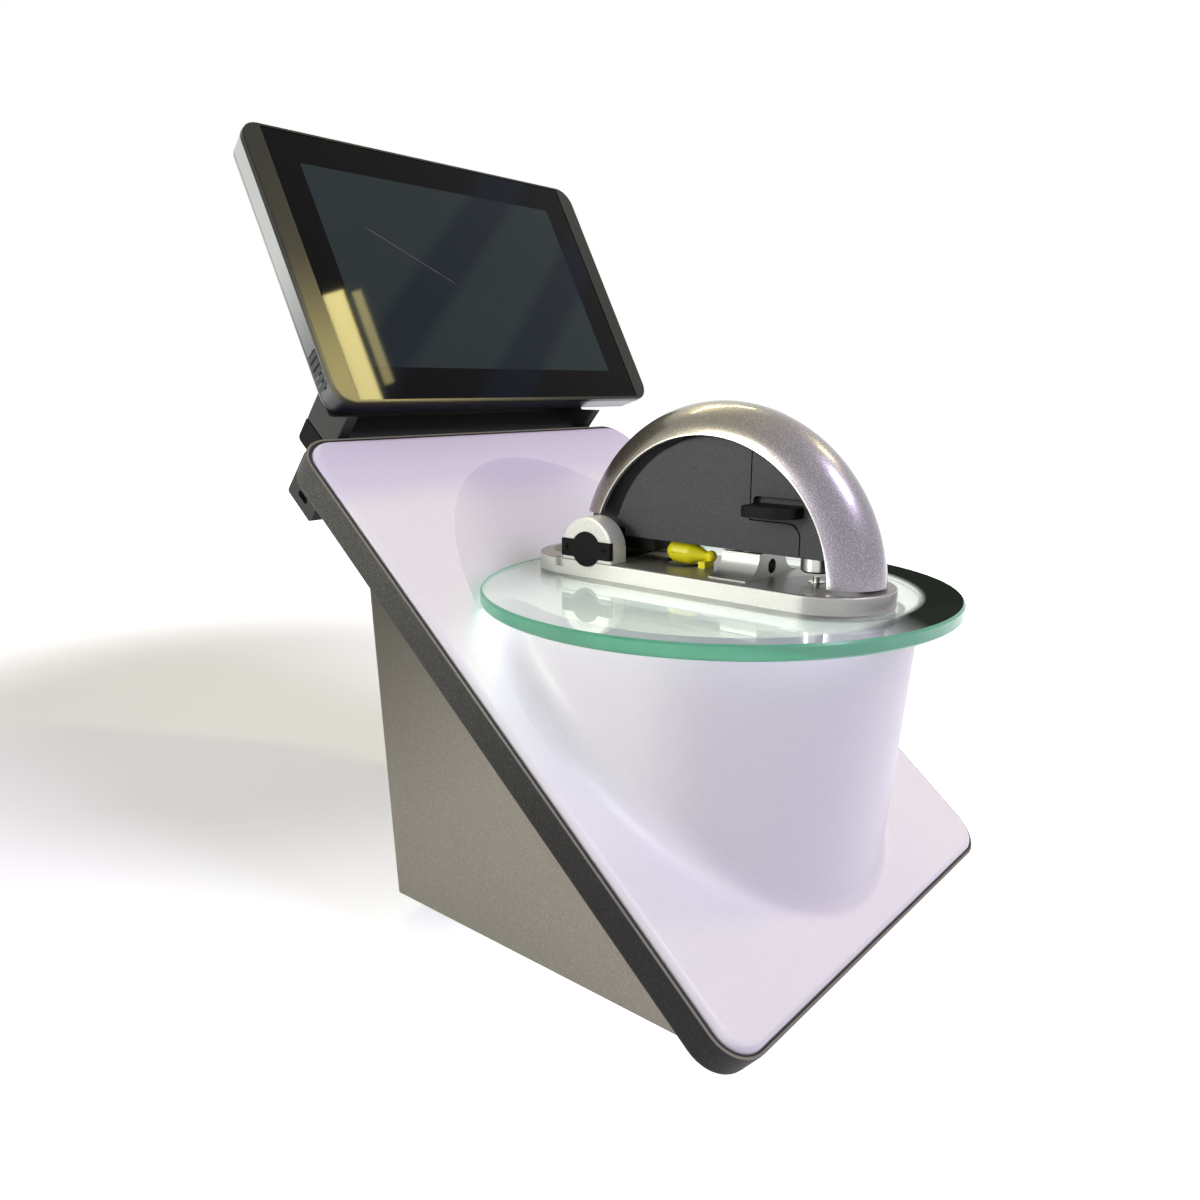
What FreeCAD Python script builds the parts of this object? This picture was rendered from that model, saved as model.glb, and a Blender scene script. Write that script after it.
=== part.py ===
import FreeCAD, Part
import math
import os
from FreeCAD import Placement, Rotation, Vector

# Bench instrument for reading drops of liquid: a sloping front on a wedge stand, a round pod with a
# glass table, an optical arm that lifts, and a touch display that tilts and slides.
# Millimetres. X to the right, Y to the back, Z up from the bench.

# Sloping front
SLOPE = 40.0
PANEL_FOOT_Z = 13.0
PANEL_WIDTH = 194.8
PANEL_LENGTH = 268.0
PANEL_CORNER = 12.0
PANEL_RIM = 3.0
PANEL_WALL = 2.6

# Frame tray round the front
FRAME_MARGIN = 2.4
FRAME_FRONT_MARGIN = 1.7
FRAME_WALL = 1.0
FRAME_FLOOR = 2.4
FRAME_DEPTH = 15.2
FRAME_RIM_DROP = 2.2
FRAME_EDGE = 2.5
FRAME_WINDOW_INSET = 16.0
GASKET_SINK = 0.3
GASKET_DEPTH = 3.0
GASKET_PLAY = 0.05

# Pod, niche and glass
POD_Y = 78.2
POD_TOP_RADIUS = 76.3
POD_TAPER = 4.5
POD_BLEND = 12.0
POD_WALL = 3.0
NICHE_RADIUS = 92.6
NICHE_FLARE = 23.5
NICHE_WALL = 1.3
GLASS_RADIUS = 91.5
GLASS_THICKNESS = 5.4
GLASS_EDGE = 0.8
GLASS_TOP_Z = 131.4
PAD_THICKNESS = 0.6
PAD_WIDTH = 2.0
PAD_MARGIN = 4.0
STEM_WIDTH = 28.0
STEM_PLAY = 0.3

# Deck casting on the glass
DECK_LENGTH = 156.4
DECK_WIDTH = 48.4
DECK_THICKNESS = 6.4
DECK_SETBACK = 6.9
DECK_EDGE = 0.8
TAIL_HOLE_RADIUS = 13.9
TAIL_HOLE_BACK = 20.8
SIDE_NOTCH_BACK = 14.6
SIDE_NOTCH_LENGTH = 4.0
SIDE_NOTCH_DEPTH = 3.5
SIDE_NOTCH_WIDTH = 2.5
BOSS_RADIUS = 12.8
BOSS_WIDTH = 9.2
BOSS_EDGE = 0.7

# Arm hinge
HINGE_INSET = 38.9
HINGE_RISE = 5.0
SHAFT_RADIUS = 3.0
SHAFT_PLAY = 0.05
BARREL_RADIUS = 7.5
BARREL_GAP = 0.4
CAP_RADIUS = 7.0
CAP_EAR_SPAN = 25.0
CAP_EAR_HEIGHT = 7.0
CAP_THICKNESS = 2.2
CAP_PROUD = 0.7
CAP_SCREW_PITCH = 18.8
CAP_SCREW_RADIUS = 1.7
CAP_PLAY = 0.1

# Arm
ARM_FRONT_INSET = 2.7
ARM_OVERHANG = 18.6
ARM_CENTRE_RISE = -3.0
ARM_HALF_WIDTH = 14.0
ARM_WALL = 2.0
RIM_DEPTH = 14.1
RIM_BACK = 0.6
RIM_CENTRE_RISE = -1.2
ARM_TIP_GAP = 1.0
ARM_TAIL_RISE = 18.1
WEB_DEPTH = 15.5
WEB_FORWARD = 3.8
WEB_CENTRE_RISE = 1.0
WEB_HALF_WIDTH = 9.0
WEB_EDGE = 1.2
WEB_RISE = 9.6
SPINE_HALF_WIDTH = 6.0
SPINE_PLAY = 0.2
NOSE_RISE = 9.6
TAIL_RISE = 12.9
SEAM_BACK = 23.2
SEAM_LOW_BACK = 2.5
SEAM_TURN_RISE = 21.7
SEAM_TURN_RADIUS = 5.0
SEAM_GAP = 0.5
TAB_BACK = 12.0
TAB_LENGTH = 20.5
TAB_RISE = 25.7
TAB_THICKNESS = 3.8
TAB_REACH = 20.0
TAB_REAR_CORNER = 4.0
TAB_FRONT_CORNER = 9.0
TAB_PLAY = 0.1
POCKET_HEIGHT = 2.6
POCKET_DEPTH = 2.6
POCKET_CORNER = 1.6

# Sampling pedestals
PEDESTAL_INSET = 28.6
PEDESTAL_DISC_RADIUS = 11.5
PEDESTAL_DISC_THICKNESS = 1.2
PIN_RADIUS = 1.25
PIN_RISE = 2.1
PIN_BODY_RADIUS = 3.0
PIN_BODY_PROUD = 0.2
BUSH_RADIUS = 6.0
BUSH_GAP = 1.8
BUSH_SOCKET = 6.0
FIBRE_BORE = 0.6

# Cuvette holder and fibre boot
CUVETTE = 12.5
CUVETTE_PLAY = 0.2
HOLDER_BACK = 18.5
HOLDER_DEPTH = 16.0
HOLDER_TOP_RISE = 9.0
HOLDER_TOP_HALF = 9.2
HOLDER_FOOT_HALF = 18.5
HOLDER_FOOT_EDGE = 0.4
HOLDER_FRONT_WALL = 2.0
LIGHT_HOLE_RADIUS = 2.8
LIGHT_HOLE_RISE = 3.6
WELL_DEPTH = 4.0
SPRING_LEAF = 0.5
SPRING_FOOT = 6.0
BOOT_FORWARD = 30.9
BOOT_LENGTH = 15.0
BOOT_HEIGHT = 9.0
BOOT_DROOP = 2.0
BOOT_TAIL_LENGTH = 12.5
BOOT_NECK_RADIUS = 1.5
BOOT_KNOB_RADIUS = 2.3
BOOT_FLAT_RADIUS = 0.8
HEEL_LENGTH = 3.0
HEEL_WIDTH = 6.0
HEEL_HEIGHT = 2.6
SLIT_LENGTH = 7.5
SLIT_WIDTH = 0.4
GROMMET_RADIUS = 9.0
GROMMET_TUBE = 0.8

# Wedge stand
STAND_HALF_WIDTH = 94.6
STAND_LIFT = 9.4
STAND_OVERHANG = 43.6
STAND_LEAN = 0.081
STAND_CROWN = 8.0
STAND_CORNER = 3.0
STAND_WALL = 1.6
STAND_FRONT_Y = 18.0
BASE_THICKNESS = 2.0
BASE_PLAY = 0.2
FOOT_RADIUS = 9.0
FOOT_TAPER = 1.0
FOOT_X_INSET = 18.6
FOOT_FRONT_Y = 42.0
FOOT_REAR_INSET = 15.5

# Rear connector panel
PORT_HALF_WIDTH = 58.0
PORT_LOW_Z = 26.0
PORT_HEIGHT = 32.0
PORT_RECESS = 1.0
PORT_WALL = 2.5
PORT_LIP = 3.0
PORT_PLAY = 0.2
BUTTON_X = 44.0
BUTTON_RADIUS = 8.0
BUTTON_TRAVEL = 1.5
BUTTON_PROUD = 2.2
BUTTON_PLAY = 0.3
USB_X = (-16.0, 4.0)
USB_WIDTH = 13.2
USB_HEIGHT = 5.8
SHEET = 0.4
NETWORK_X = -40.0
NETWORK_WIDTH = 16.0
NETWORK_HEIGHT = 13.5
SOCKET_DEPTH = 12.0
INLET_X = 24.0
INLET_RADIUS = 5.0
INLET_BORE = 2.9
INLET_PIN = 1.0

# Display hinge, in the slope's own directions
MOUNT_HALF_WIDTH = 78.0
MOUNT_GAP = 1.1
MOUNT_DEPTH = 21.0
BRACKET_SETBACK = 4.4
BRACKET_LENGTH = 19.6
BRACKET_DEEP_N = 46.0
BRACKET_TOP_N = 22.9
BRACKET_EDGE = 1.5
BRACKET_SLOT_LENGTH = 7.0
BRACKET_SLOT_WIDTH = 3.0
BRACKET_SLOT_MARGIN = 4.0
BRACKET_SLOT_DEPTH = 3.0
CARRIER_LOW_N = 21.9
CARRIER_EDGE = 2.0
SEAM_N = 10.9
SEAM_LINE = 0.3
TILT_BEYOND = 11.6
TILT_N = 25.2
TILT_RADIUS = 2.5
KNUCKLE_RADIUS = 5.0
KNUCKLE_WIDTH = 14.0
KNUCKLE_X = 52.0
KNUCKLE_GAP = 0.4
YOKE_CHEEK = 5.5
YOKE_BACK = 3.5
YOKE_TOP_V = -22.0
YOKE_PLATE_HALF = 64.0

# Display
DISPLAY_UP = 62.5
DISPLAY_OUT = 36.9
DISPLAY_SLOPE = 62.0
DISPLAY_SHIFT = 17.4
DISPLAY_WIDTH = 199.4
DISPLAY_HEIGHT = 126.8
DISPLAY_UNDER_GAP = 0.8
DISPLAY_THICKNESS = 14.4
DISPLAY_CORNER = 9.0
DISPLAY_EDGE = 2.0
DISPLAY_WALL = 2.4
DISPLAY_DRAFT = 10.0
PARTING_DEPTH = 11.8
PARTING_GROOVE = 0.4
BEZEL_DEPTH = 2.6
BEZEL_LIP = 1.0
STRIP_WIDTH = 9.7
GLASS_MARGIN = 1.4
COVER_GLASS = 1.4
GLASS_SET = 0.3
SCREEN_WIDTH = 150.8
SCREEN_HEIGHT = 94.2
SCREEN_THICKNESS = 3.0
SCREEN_SHIFT = -0.7
GRIP_COUNT = 6
GRIP_PITCH = 3.2
GRIP_GROOVE = 0.9
GRIP_DEPTH = 0.9
GRIP_MARGIN = 2.0
RAIL_V = -38.0
RAIL_HALF_LENGTH = 63.0
RAIL_HEIGHT = 12.0
RAIL_THICKNESS = 2.4
RAIL_PLAY = 0.3
RUNNER_LENGTH = 60.0
RUNNER_WALL = 2.4

# Inside
DECK_SCREW_RADIUS = 1.5
DECK_SCREW_REACH = 8.0
WASHER_SPACE = 0.4
BARREL_FOOT_HALF = 8.0
BARREL_FOOT_LENGTH = 21.4
BARREL_FOOT_THICKNESS = 5.0
BOARD_HALF_X = 70.0
BOARD_FRONT_INSET = 101.5
BOARD_REAR_INSET = 43.5
BOARD_Z = 17.0
BOARD_THICKNESS = 1.6
POST_RADIUS = 3.0
CHIP_HALF = 20.0
CHIP_DEPTH = 30.0
CHIP_HEIGHT = 3.0
CONNECTOR_X = 55.0
CONNECTOR_WIDTH = 14.0
CONNECTOR_HEIGHT = 5.0
PORT_BOARD_INSET = 23.5
PORT_BOARD_Z = 28.0
PORT_BOARD_MARGIN = 4.0
SWITCH_HALF = 7.0
SWITCH_DEPTH = 10.0
NETWORK_MOUTH = 11.8
NETWORK_FLOOR = 3.4
NETWORK_ROOF = 1.6
NETWORK_KEY = 6.0
NETWORK_BACK = 3.0
SOCKET_BACK = 2.0
TONGUE_SET = 1.0
TONGUE_LOW = 0.45
TONGUE_HIGH = 0.78
BUTTON_COLLAR = 2.0
BUTTON_RIM = 1.4
PLATE = 2.0
OPTICS_DROP = 35.4
OPTICS_HALF_X = 40.0
OPTICS_FORWARD = 30.2
OPTICS_BACK = 39.8
OPTICS_LEG_INSET = 25.0
BENCH_MARGIN = 6.0
BENCH_FRONT_MARGIN = 8.0
BENCH_HEIGHT = 26.0
FIBRE_SOCKET_RADIUS = 4.0
FIBRE_SOCKET_HEIGHT = 6.0
LAMP_MARGIN = 8.0
LAMP_FRONT_MARGIN = 28.0
LAMP_REAR_MARGIN = 12.0
LAMP_HEIGHT = 22.0
LAMP_LENS_RADIUS = 8.0
LAMP_LENS_LENGTH = 8.0
RUNNER_X = 50.0
DISPLAY_BOARD_HALF_X = 60.0
DISPLAY_BOARD_HALF_V = 35.0
DISPLAY_BOARD_GAP = 1.0
DISPLAY_POST_RADIUS = 2.5
DISPLAY_POST_INSET = 8.0
DISPLAY_SCREW_RADIUS = 3.0
DISPLAY_SCREW_TIP = 1.6
DISPLAY_SCREW_HEIGHT = 1.4
DISPLAY_SCREW_SINK = 0.2
DISPLAY_SCREW_INSET = 12.0
CROSS_LENGTH = 1.2
CROSS_WIDTH = 0.3
CROSS_DEPTH = 0.6

# Where parts merely rest on each other
REST = 0.3
FAR = 400.0

# Worked out from the sizes above
SLOPE_COS = math.cos(math.radians(SLOPE))
SLOPE_SIN = math.sin(math.radians(SLOPE))
PANEL_SKIRT = FRAME_DEPTH - FRAME_FLOOR - REST
PANEL_TOP_T = PANEL_LENGTH + FRAME_MARGIN
GASKET_DROP = FRAME_RIM_DROP + GASKET_SINK
POD_TOP_Z = GLASS_TOP_Z - GLASS_THICKNESS - PAD_THICKNESS
DECK_TOP_Z = GLASS_TOP_Z + DECK_THICKNESS
DECK_Y = POD_Y + DECK_SETBACK
PEDESTAL_Y = DECK_Y - DECK_LENGTH / 2 + PEDESTAL_INSET
HINGE_Y = DECK_Y + DECK_LENGTH / 2 - HINGE_INSET
HINGE_Z = DECK_TOP_Z + HINGE_RISE
TAIL_HOLE_Y = HINGE_Y + TAIL_HOLE_BACK
SIDE_NOTCH_Y = HINGE_Y + SIDE_NOTCH_BACK
BOSS_INNER_X = DECK_WIDTH / 2 - BOSS_WIDTH
STEM_FRONT_Y = PEDESTAL_Y - 3 * PIN_BODY_RADIUS
STEM_REAR_Y = HINGE_Y - BOSS_RADIUS / 2
STEM_LENGTH = STEM_REAR_Y - STEM_FRONT_Y
STEM_Y = (STEM_REAR_Y + STEM_FRONT_Y) / 2
DECK_SCREW_Y = (PEDESTAL_Y + 8.5, HINGE_Y - 20.4)
TOWER_LOW_Z = PANEL_FOOT_Z - PANEL_RIM
TOWER_TOP_Z = PANEL_FOOT_Z + PANEL_LENGTH * 0.75
STAND_HIGH_Z = PANEL_FOOT_Z + PANEL_LENGTH * 0.55
PAD_REACH = 2 * (POD_TOP_RADIUS - PAD_WIDTH)
ARM_FRONT_Y = DECK_Y - DECK_LENGTH / 2 + ARM_FRONT_INSET
ARM_REAR_Y = HINGE_Y + ARM_OVERHANG
ARM_RADIUS = (ARM_REAR_Y - ARM_FRONT_Y) / 2
ARM_CENTRE_Y = (ARM_REAR_Y + ARM_FRONT_Y) / 2
ARM_CENTRE_Z = DECK_TOP_Z + ARM_CENTRE_RISE
RIM_RADIUS = ARM_RADIUS - RIM_DEPTH
RIM_CENTRE_Y = ARM_CENTRE_Y + RIM_BACK
RIM_CENTRE_Z = DECK_TOP_Z + RIM_CENTRE_RISE
WEB_RADIUS = ARM_RADIUS - WEB_DEPTH
WEB_CENTRE_Y = ARM_CENTRE_Y - WEB_FORWARD
WEB_CENTRE_Z = DECK_TOP_Z + WEB_CENTRE_RISE
WEB_LOW_Z = DECK_TOP_Z + WEB_RISE
NOSE_LOW_Z = DECK_TOP_Z + NOSE_RISE
TAIL_LOW_Z = DECK_TOP_Z + TAIL_RISE
SEAM_Y = PEDESTAL_Y + SEAM_BACK
SEAM_LOW_Y = PEDESTAL_Y + SEAM_LOW_BACK
TAB_Y = PEDESTAL_Y + TAB_BACK
HOLDER_FRONT_Y = PEDESTAL_Y + HOLDER_BACK
HOLDER_REAR_Y = HOLDER_FRONT_Y + HOLDER_DEPTH
WELL_FRONT_Y = HOLDER_FRONT_Y + HOLDER_FRONT_WALL
WELL_REAR_Y = WELL_FRONT_Y + CUVETTE + 2 * CUVETTE_PLAY
BOOT_Y = HINGE_Y - BOOT_FORWARD
BOOT_TAIL_Y = BOOT_Y - BOOT_TAIL_LENGTH
STAND_REAR_Y = PANEL_TOP_T * SLOPE_COS - STAND_OVERHANG
FOOT_X = STAND_HALF_WIDTH - FOOT_X_INSET
FOOT_REAR_Y = STAND_REAR_Y - FOOT_REAR_INSET
BOARD_FRONT_Y = STAND_REAR_Y - BOARD_FRONT_INSET
BOARD_REAR_Y = STAND_REAR_Y - BOARD_REAR_INSET
POST_X = BOARD_HALF_X * 0.9
PORT_POST_X = BOARD_HALF_X * 0.6
PORT_BOARD_Y = STAND_REAR_Y - PORT_BOARD_INSET
OPTICS_Z = POD_TOP_Z - OPTICS_DROP
OPTICS_FRONT_Y = POD_Y - OPTICS_FORWARD
OPTICS_REAR_Y = POD_Y + OPTICS_BACK
BRACKET_LOW_T = PANEL_TOP_T - BRACKET_SETBACK
BRACKET_HIGH_T = BRACKET_LOW_T + BRACKET_LENGTH
TILT_T = PANEL_TOP_T + TILT_BEYOND
DISPLAY_T = PANEL_TOP_T + DISPLAY_UP
DISPLAY_Y = DISPLAY_T * SLOPE_COS - DISPLAY_OUT * SLOPE_SIN
DISPLAY_Z = PANEL_FOOT_Z + DISPLAY_T * SLOPE_SIN + DISPLAY_OUT * SLOPE_COS
GLASS_HALF_WIDTH = DISPLAY_WIDTH / 2 - STRIP_WIDTH
GLASS_HALF_HEIGHT = DISPLAY_HEIGHT / 2 - GLASS_MARGIN
DISPLAY_LOW_V = -DISPLAY_HEIGHT / 2
DISPLAY_HIGH_V = DISPLAY_HEIGHT / 2
DISPLAY_TAPER = (DISPLAY_THICKNESS - BEZEL_DEPTH) * math.tan(math.radians(DISPLAY_DRAFT))
EDGE_TURN = math.cos(math.radians(DISPLAY_DRAFT)) / (1 + math.sin(math.radians(DISPLAY_DRAFT)))
DISPLAY_BACK_HALF = DISPLAY_WIDTH / 2 - DISPLAY_TAPER
SOCKET_LOW_Z = PORT_BOARD_Z + BOARD_THICKNESS
BUTTON_Z = PORT_LOW_Z + PORT_HEIGHT / 2
INLET_Z = SOCKET_LOW_Z + INLET_RADIUS + 1.0

panel_place = Placement(Vector(0, 0, PANEL_FOOT_Z), Rotation(Vector(1, 0, 0), SLOPE))
display_place = Placement(Vector(DISPLAY_SHIFT, DISPLAY_Y, DISPLAY_Z),
                          Rotation(Vector(1, 0, 0), DISPLAY_SLOPE))

# The row's origin lies on the bench, in the middle of the whole outline at rest
RIGHT_END = DISPLAY_SHIFT + DISPLAY_WIDTH / 2
LEFT_END = -PANEL_WIDTH / 2 - FRAME_MARGIN
ORIGIN_X = (RIGHT_END + LEFT_END) / 2
FRONT_END = POD_Y - GLASS_RADIUS
TOP_RUN = (DISPLAY_HIGH_V - DISPLAY_TAPER - EDGE_TURN * DISPLAY_EDGE) * math.cos(math.radians(DISPLAY_SLOPE))
BACK_RUN = (DISPLAY_THICKNESS - DISPLAY_EDGE) * math.sin(math.radians(DISPLAY_SLOPE))
REAR_END = DISPLAY_Y + TOP_RUN + BACK_RUN + DISPLAY_EDGE
ORIGIN_Y = (FRONT_END + REAR_END) / 2


def in_panel(shape):
    """Takes a shape from the slope's own directions (x, up the slope, out of it) to the row."""
    copy = shape.copy()
    copy.Placement = panel_place.multiply(copy.Placement)
    return copy


def in_display(shape):
    """Takes a shape from the display's own directions (x, up its face, out of it) to the row."""
    copy = shape.copy()
    copy.Placement = display_place.multiply(copy.Placement)
    return copy


def block(x0, x1, y0, y1, z0, z1):
    return Part.makeBox(x1 - x0, y1 - y0, z1 - z0, Vector(x0, y0, z0))


def rounded_face(half_x, y0, y1, radius, z=0.0, front_radius=None):
    """A rectangle with round corners, in a plane of constant z."""
    front = radius if front_radius is None else front_radius
    corners = ((half_x - radius, y1 - radius, 0, radius), (radius - half_x, y1 - radius, 90, radius),
               (front - half_x, y0 + front, 180, front), (half_x - front, y0 + front, 270, front))
    edges = []
    ends = []
    for cx, cy, start, turn in corners:
        circle = Part.Circle(Vector(cx, cy, z), Vector(0, 0, 1), turn)
        arc = Part.Arc(circle, math.radians(start), math.radians(start + 90))
        edges.append(arc.toShape())
        ends.append((arc.StartPoint, arc.EndPoint))
    sides = [Part.LineSegment(ends[i][1], ends[(i + 1) % 4][0]).toShape() for i in range(4)]
    wire = Part.Wire([edge for pair in zip(edges, sides) for edge in pair])
    return Part.Face(wire)


def rounded_slab(half_x, y0, y1, radius, z0, z1, front_radius=None):
    return rounded_face(half_x, y0, y1, radius, z0, front_radius).extrude(Vector(0, 0, z1 - z0))


def stadium(length, width, centre_y, z0, z1):
    """A slot-shaped slab, long in Y."""
    radius = width / 2
    near = centre_y - length / 2 + radius
    far = centre_y + length / 2 - radius
    front = Part.Arc(Vector(-radius, near, z0), Vector(0, near - radius, z0), Vector(radius, near, z0))
    back = Part.Arc(Vector(radius, far, z0), Vector(0, far + radius, z0), Vector(-radius, far, z0))
    right = Part.LineSegment(Vector(radius, near, z0), Vector(radius, far, z0))
    left = Part.LineSegment(Vector(-radius, far, z0), Vector(-radius, near, z0))
    wire = Part.Wire([curve.toShape() for curve in (front, right, back, left)])
    return Part.Face(wire).extrude(Vector(0, 0, z1 - z0))


def cylinder_x(radius, x0, x1, y, z):
    return Part.makeCylinder(radius, x1 - x0, Vector(x0, y, z), Vector(1, 0, 0))


def cylinder_z(radius, x, y, z0, z1):
    return Part.makeCylinder(radius, z1 - z0, Vector(x, y, z0), Vector(0, 0, 1))


def cylinder_y(radius, x, z, y0, y1):
    return Part.makeCylinder(radius, y1 - y0, Vector(x, y0, z), Vector(0, 1, 0))


def profile_x(points, x0, x1):
    """A solid of constant outline in the Y-Z plane, from x0 to x1."""
    loop = [Vector(x0, y, z) for y, z in points]
    return Part.Face(Part.makePolygon(loop + loop[:1])).extrude(Vector(x1 - x0, 0, 0))


def edges_at(shape, test):
    return [edge for edge in shape.Edges if test(edge)]


def flat_edges_z(shape, z):
    """Edges that lie wholly in the plane of constant z."""
    return edges_at(shape, lambda e: abs(e.BoundBox.ZMin - z) < 1e-4 and abs(e.BoundBox.ZMax - z) < 1e-4)


def pod_cone(inset, top_z):
    """The tapered pod, wider at the top."""
    slope = math.tan(math.radians(POD_TAPER))
    top = POD_TOP_RADIUS - inset + (top_z - POD_TOP_Z) * slope
    height = top_z - TOWER_LOW_Z
    return Part.makeCone(top - height * slope, top, height, Vector(0, POD_Y, TOWER_LOW_Z))


def niche_cone(wall):
    """The flared recess round the back of the glass. With a wall it is the recess's outer skin."""
    floor = POD_TOP_Z - wall
    height = FAR - floor
    spread = wall / math.cos(math.radians(NICHE_FLARE))
    low = NICHE_RADIUS + spread - wall * math.tan(math.radians(NICHE_FLARE))
    high = low + height * math.tan(math.radians(NICHE_FLARE))
    return Part.makeCone(low, high, height, Vector(0, POD_Y, floor))


def edge_on_plane(edge, base, normal):
    """True where an edge lies in the plane through base."""
    first, last = edge.FirstParameter, edge.LastParameter
    points = [edge.valueAt(first + (last - first) * share) for share in (0.0, 0.3, 0.7)]
    return all(abs((point - base).dot(normal)) < 1e-3 for point in points)


def make_front_cover():
    """White moulded front: flat panel with a soft rim, blended pod, recess round the glass."""
    half = PANEL_WIDTH / 2
    plate = rounded_slab(half, 0, PANEL_LENGTH, PANEL_CORNER, -PANEL_SKIRT, 0)
    plate = in_panel(plate.makeFillet(PANEL_RIM, flat_edges_z(plate, 0)))
    outer = plate.fuse(pod_cone(0, TOWER_TOP_Z))
    normal = panel_place.Rotation.multVec(Vector(0, 0, 1))
    seam = [edge for edge in outer.Edges
            if edge_on_plane(edge, panel_place.Base, normal)
            and not isinstance(edge.Curve, (Part.Line, Part.Circle))]
    outer = outer.makeFillet(POD_BLEND, seam)
    under_face = in_panel(block(-half, half, 0, PANEL_LENGTH, -FAR, -PANEL_WALL / 2))
    outer = outer.fuse(niche_cone(NICHE_WALL).common(under_face)).cut(niche_cone(0))
    inside = in_panel(rounded_slab(half - PANEL_WALL, PANEL_WALL, PANEL_LENGTH - PANEL_WALL,
                                   PANEL_CORNER - PANEL_WALL, -FAR, -PANEL_WALL))
    hollow = inside.fuse(pod_cone(POD_WALL, POD_TOP_Z - POD_WALL)).cut(niche_cone(NICHE_WALL))
    shell = outer.cut(hollow)
    for hole_y in DECK_SCREW_Y:
        shell = shell.cut(cylinder_z(DECK_SCREW_RADIUS + SHAFT_PLAY, 0, hole_y,
                                     POD_TOP_Z - 2 * POD_WALL, POD_TOP_Z + POD_WALL))
    return shell


def make_frame_tray():
    """Dark tray that carries the front: thin rim, rounded back edge, a window for the pod."""
    half = PANEL_WIDTH / 2 + FRAME_MARGIN
    corner = PANEL_CORNER + FRAME_MARGIN
    outer = rounded_slab(half, -FRAME_FRONT_MARGIN, PANEL_TOP_T, corner, -FRAME_DEPTH, -FRAME_RIM_DROP)
    outer = outer.makeFillet(FRAME_EDGE, flat_edges_z(outer, -FRAME_DEPTH))
    outer = outer.makeFillet(FRAME_WALL / 3, flat_edges_z(outer, -FRAME_RIM_DROP))
    pocket = rounded_slab(half - FRAME_WALL, FRAME_WALL - FRAME_FRONT_MARGIN, PANEL_TOP_T - FRAME_WALL,
                          corner - FRAME_WALL, FRAME_FLOOR - FRAME_DEPTH, FRAME_DEPTH)
    inset = FRAME_WINDOW_INSET
    window = rounded_slab(half - inset, inset, PANEL_LENGTH - inset, corner, -FAR, FAR)
    return in_panel(outer.cut(pocket).cut(window))


def make_gasket():
    """Soft ring in the gap between the white front and the tray's rim."""
    side_end = FRAME_MARGIN - FRAME_WALL - GASKET_PLAY
    front_end = FRAME_FRONT_MARGIN - FRAME_WALL - GASKET_PLAY
    outer = rounded_slab(PANEL_WIDTH / 2 + side_end, -front_end, PANEL_LENGTH + side_end,
                         PANEL_CORNER + side_end, -GASKET_DROP - GASKET_DEPTH, -GASKET_DROP)
    inner = rounded_slab(PANEL_WIDTH / 2 + GASKET_PLAY, -GASKET_PLAY, PANEL_LENGTH + GASKET_PLAY,
                         PANEL_CORNER + GASKET_PLAY, -FAR, FAR)
    return in_panel(outer.cut(inner))


def make_glass():
    """Round glass table with polished edges and a slot for the deck's stem."""
    disc = cylinder_z(GLASS_RADIUS, 0, POD_Y, GLASS_TOP_Z - GLASS_THICKNESS, GLASS_TOP_Z)
    rims = flat_edges_z(disc, GLASS_TOP_Z) + flat_edges_z(disc, GLASS_TOP_Z - GLASS_THICKNESS)
    disc = disc.makeChamfer(GLASS_EDGE, rims)
    slot = stadium(STEM_LENGTH + 2 * STEM_PLAY, STEM_WIDTH + 2 * STEM_PLAY, STEM_Y, 0, FAR)
    return disc.cut(slot)


def make_glass_pad():
    """Thin ring of foam tape under the glass, a little larger than the deck."""
    low = POD_TOP_Z
    high = POD_TOP_Z + PAD_THICKNESS
    length = min(DECK_LENGTH + 2 * PAD_MARGIN, PAD_REACH)
    ring = stadium(length, DECK_WIDTH + 2 * PAD_MARGIN, POD_Y, low, high)
    hole = stadium(length - 2 * PAD_WIDTH, DECK_WIDTH + 2 * PAD_MARGIN - 2 * PAD_WIDTH, POD_Y, 0, FAR)
    return ring.cut(hole)


def make_boss(x0, x1):
    """Upright ear of the deck round the hinge axis, rounded on its outer face."""
    ear = cylinder_x(BOSS_RADIUS, x0, x1, HINGE_Y, HINGE_Z).cut(block(x0, x1, 0, FAR, 0, GLASS_TOP_Z))
    root = block(x0, x1, HINGE_Y - BOSS_RADIUS, HINGE_Y + BOSS_RADIUS, GLASS_TOP_Z, HINGE_Z)
    solid = ear.fuse(root).removeSplitter()
    face_x = x0 if abs(x0) > abs(x1) else x1
    rim = edges_at(solid, lambda e: abs(e.BoundBox.XMin - face_x) < 1e-4
                   and abs(e.BoundBox.XMax - face_x) < 1e-4 and e.BoundBox.ZMax > DECK_TOP_Z + 1)
    return solid.makeFillet(BOSS_EDGE, rim)


def cap_outline(side, low_x, high_x, play, half):
    """The round cap with two ears, as a solid between two distances from the middle."""
    x0, x1 = sorted((side * low_x, side * high_x))
    disc = cylinder_x(CAP_RADIUS + play, x0, x1, HINGE_Y, HINGE_Z)
    rise = CAP_EAR_HEIGHT / 2 + play
    ears = block(x0, x1, HINGE_Y - half, HINGE_Y + half, HINGE_Z - rise, HINGE_Z + rise)
    return disc.fuse(ears).removeSplitter()


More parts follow.
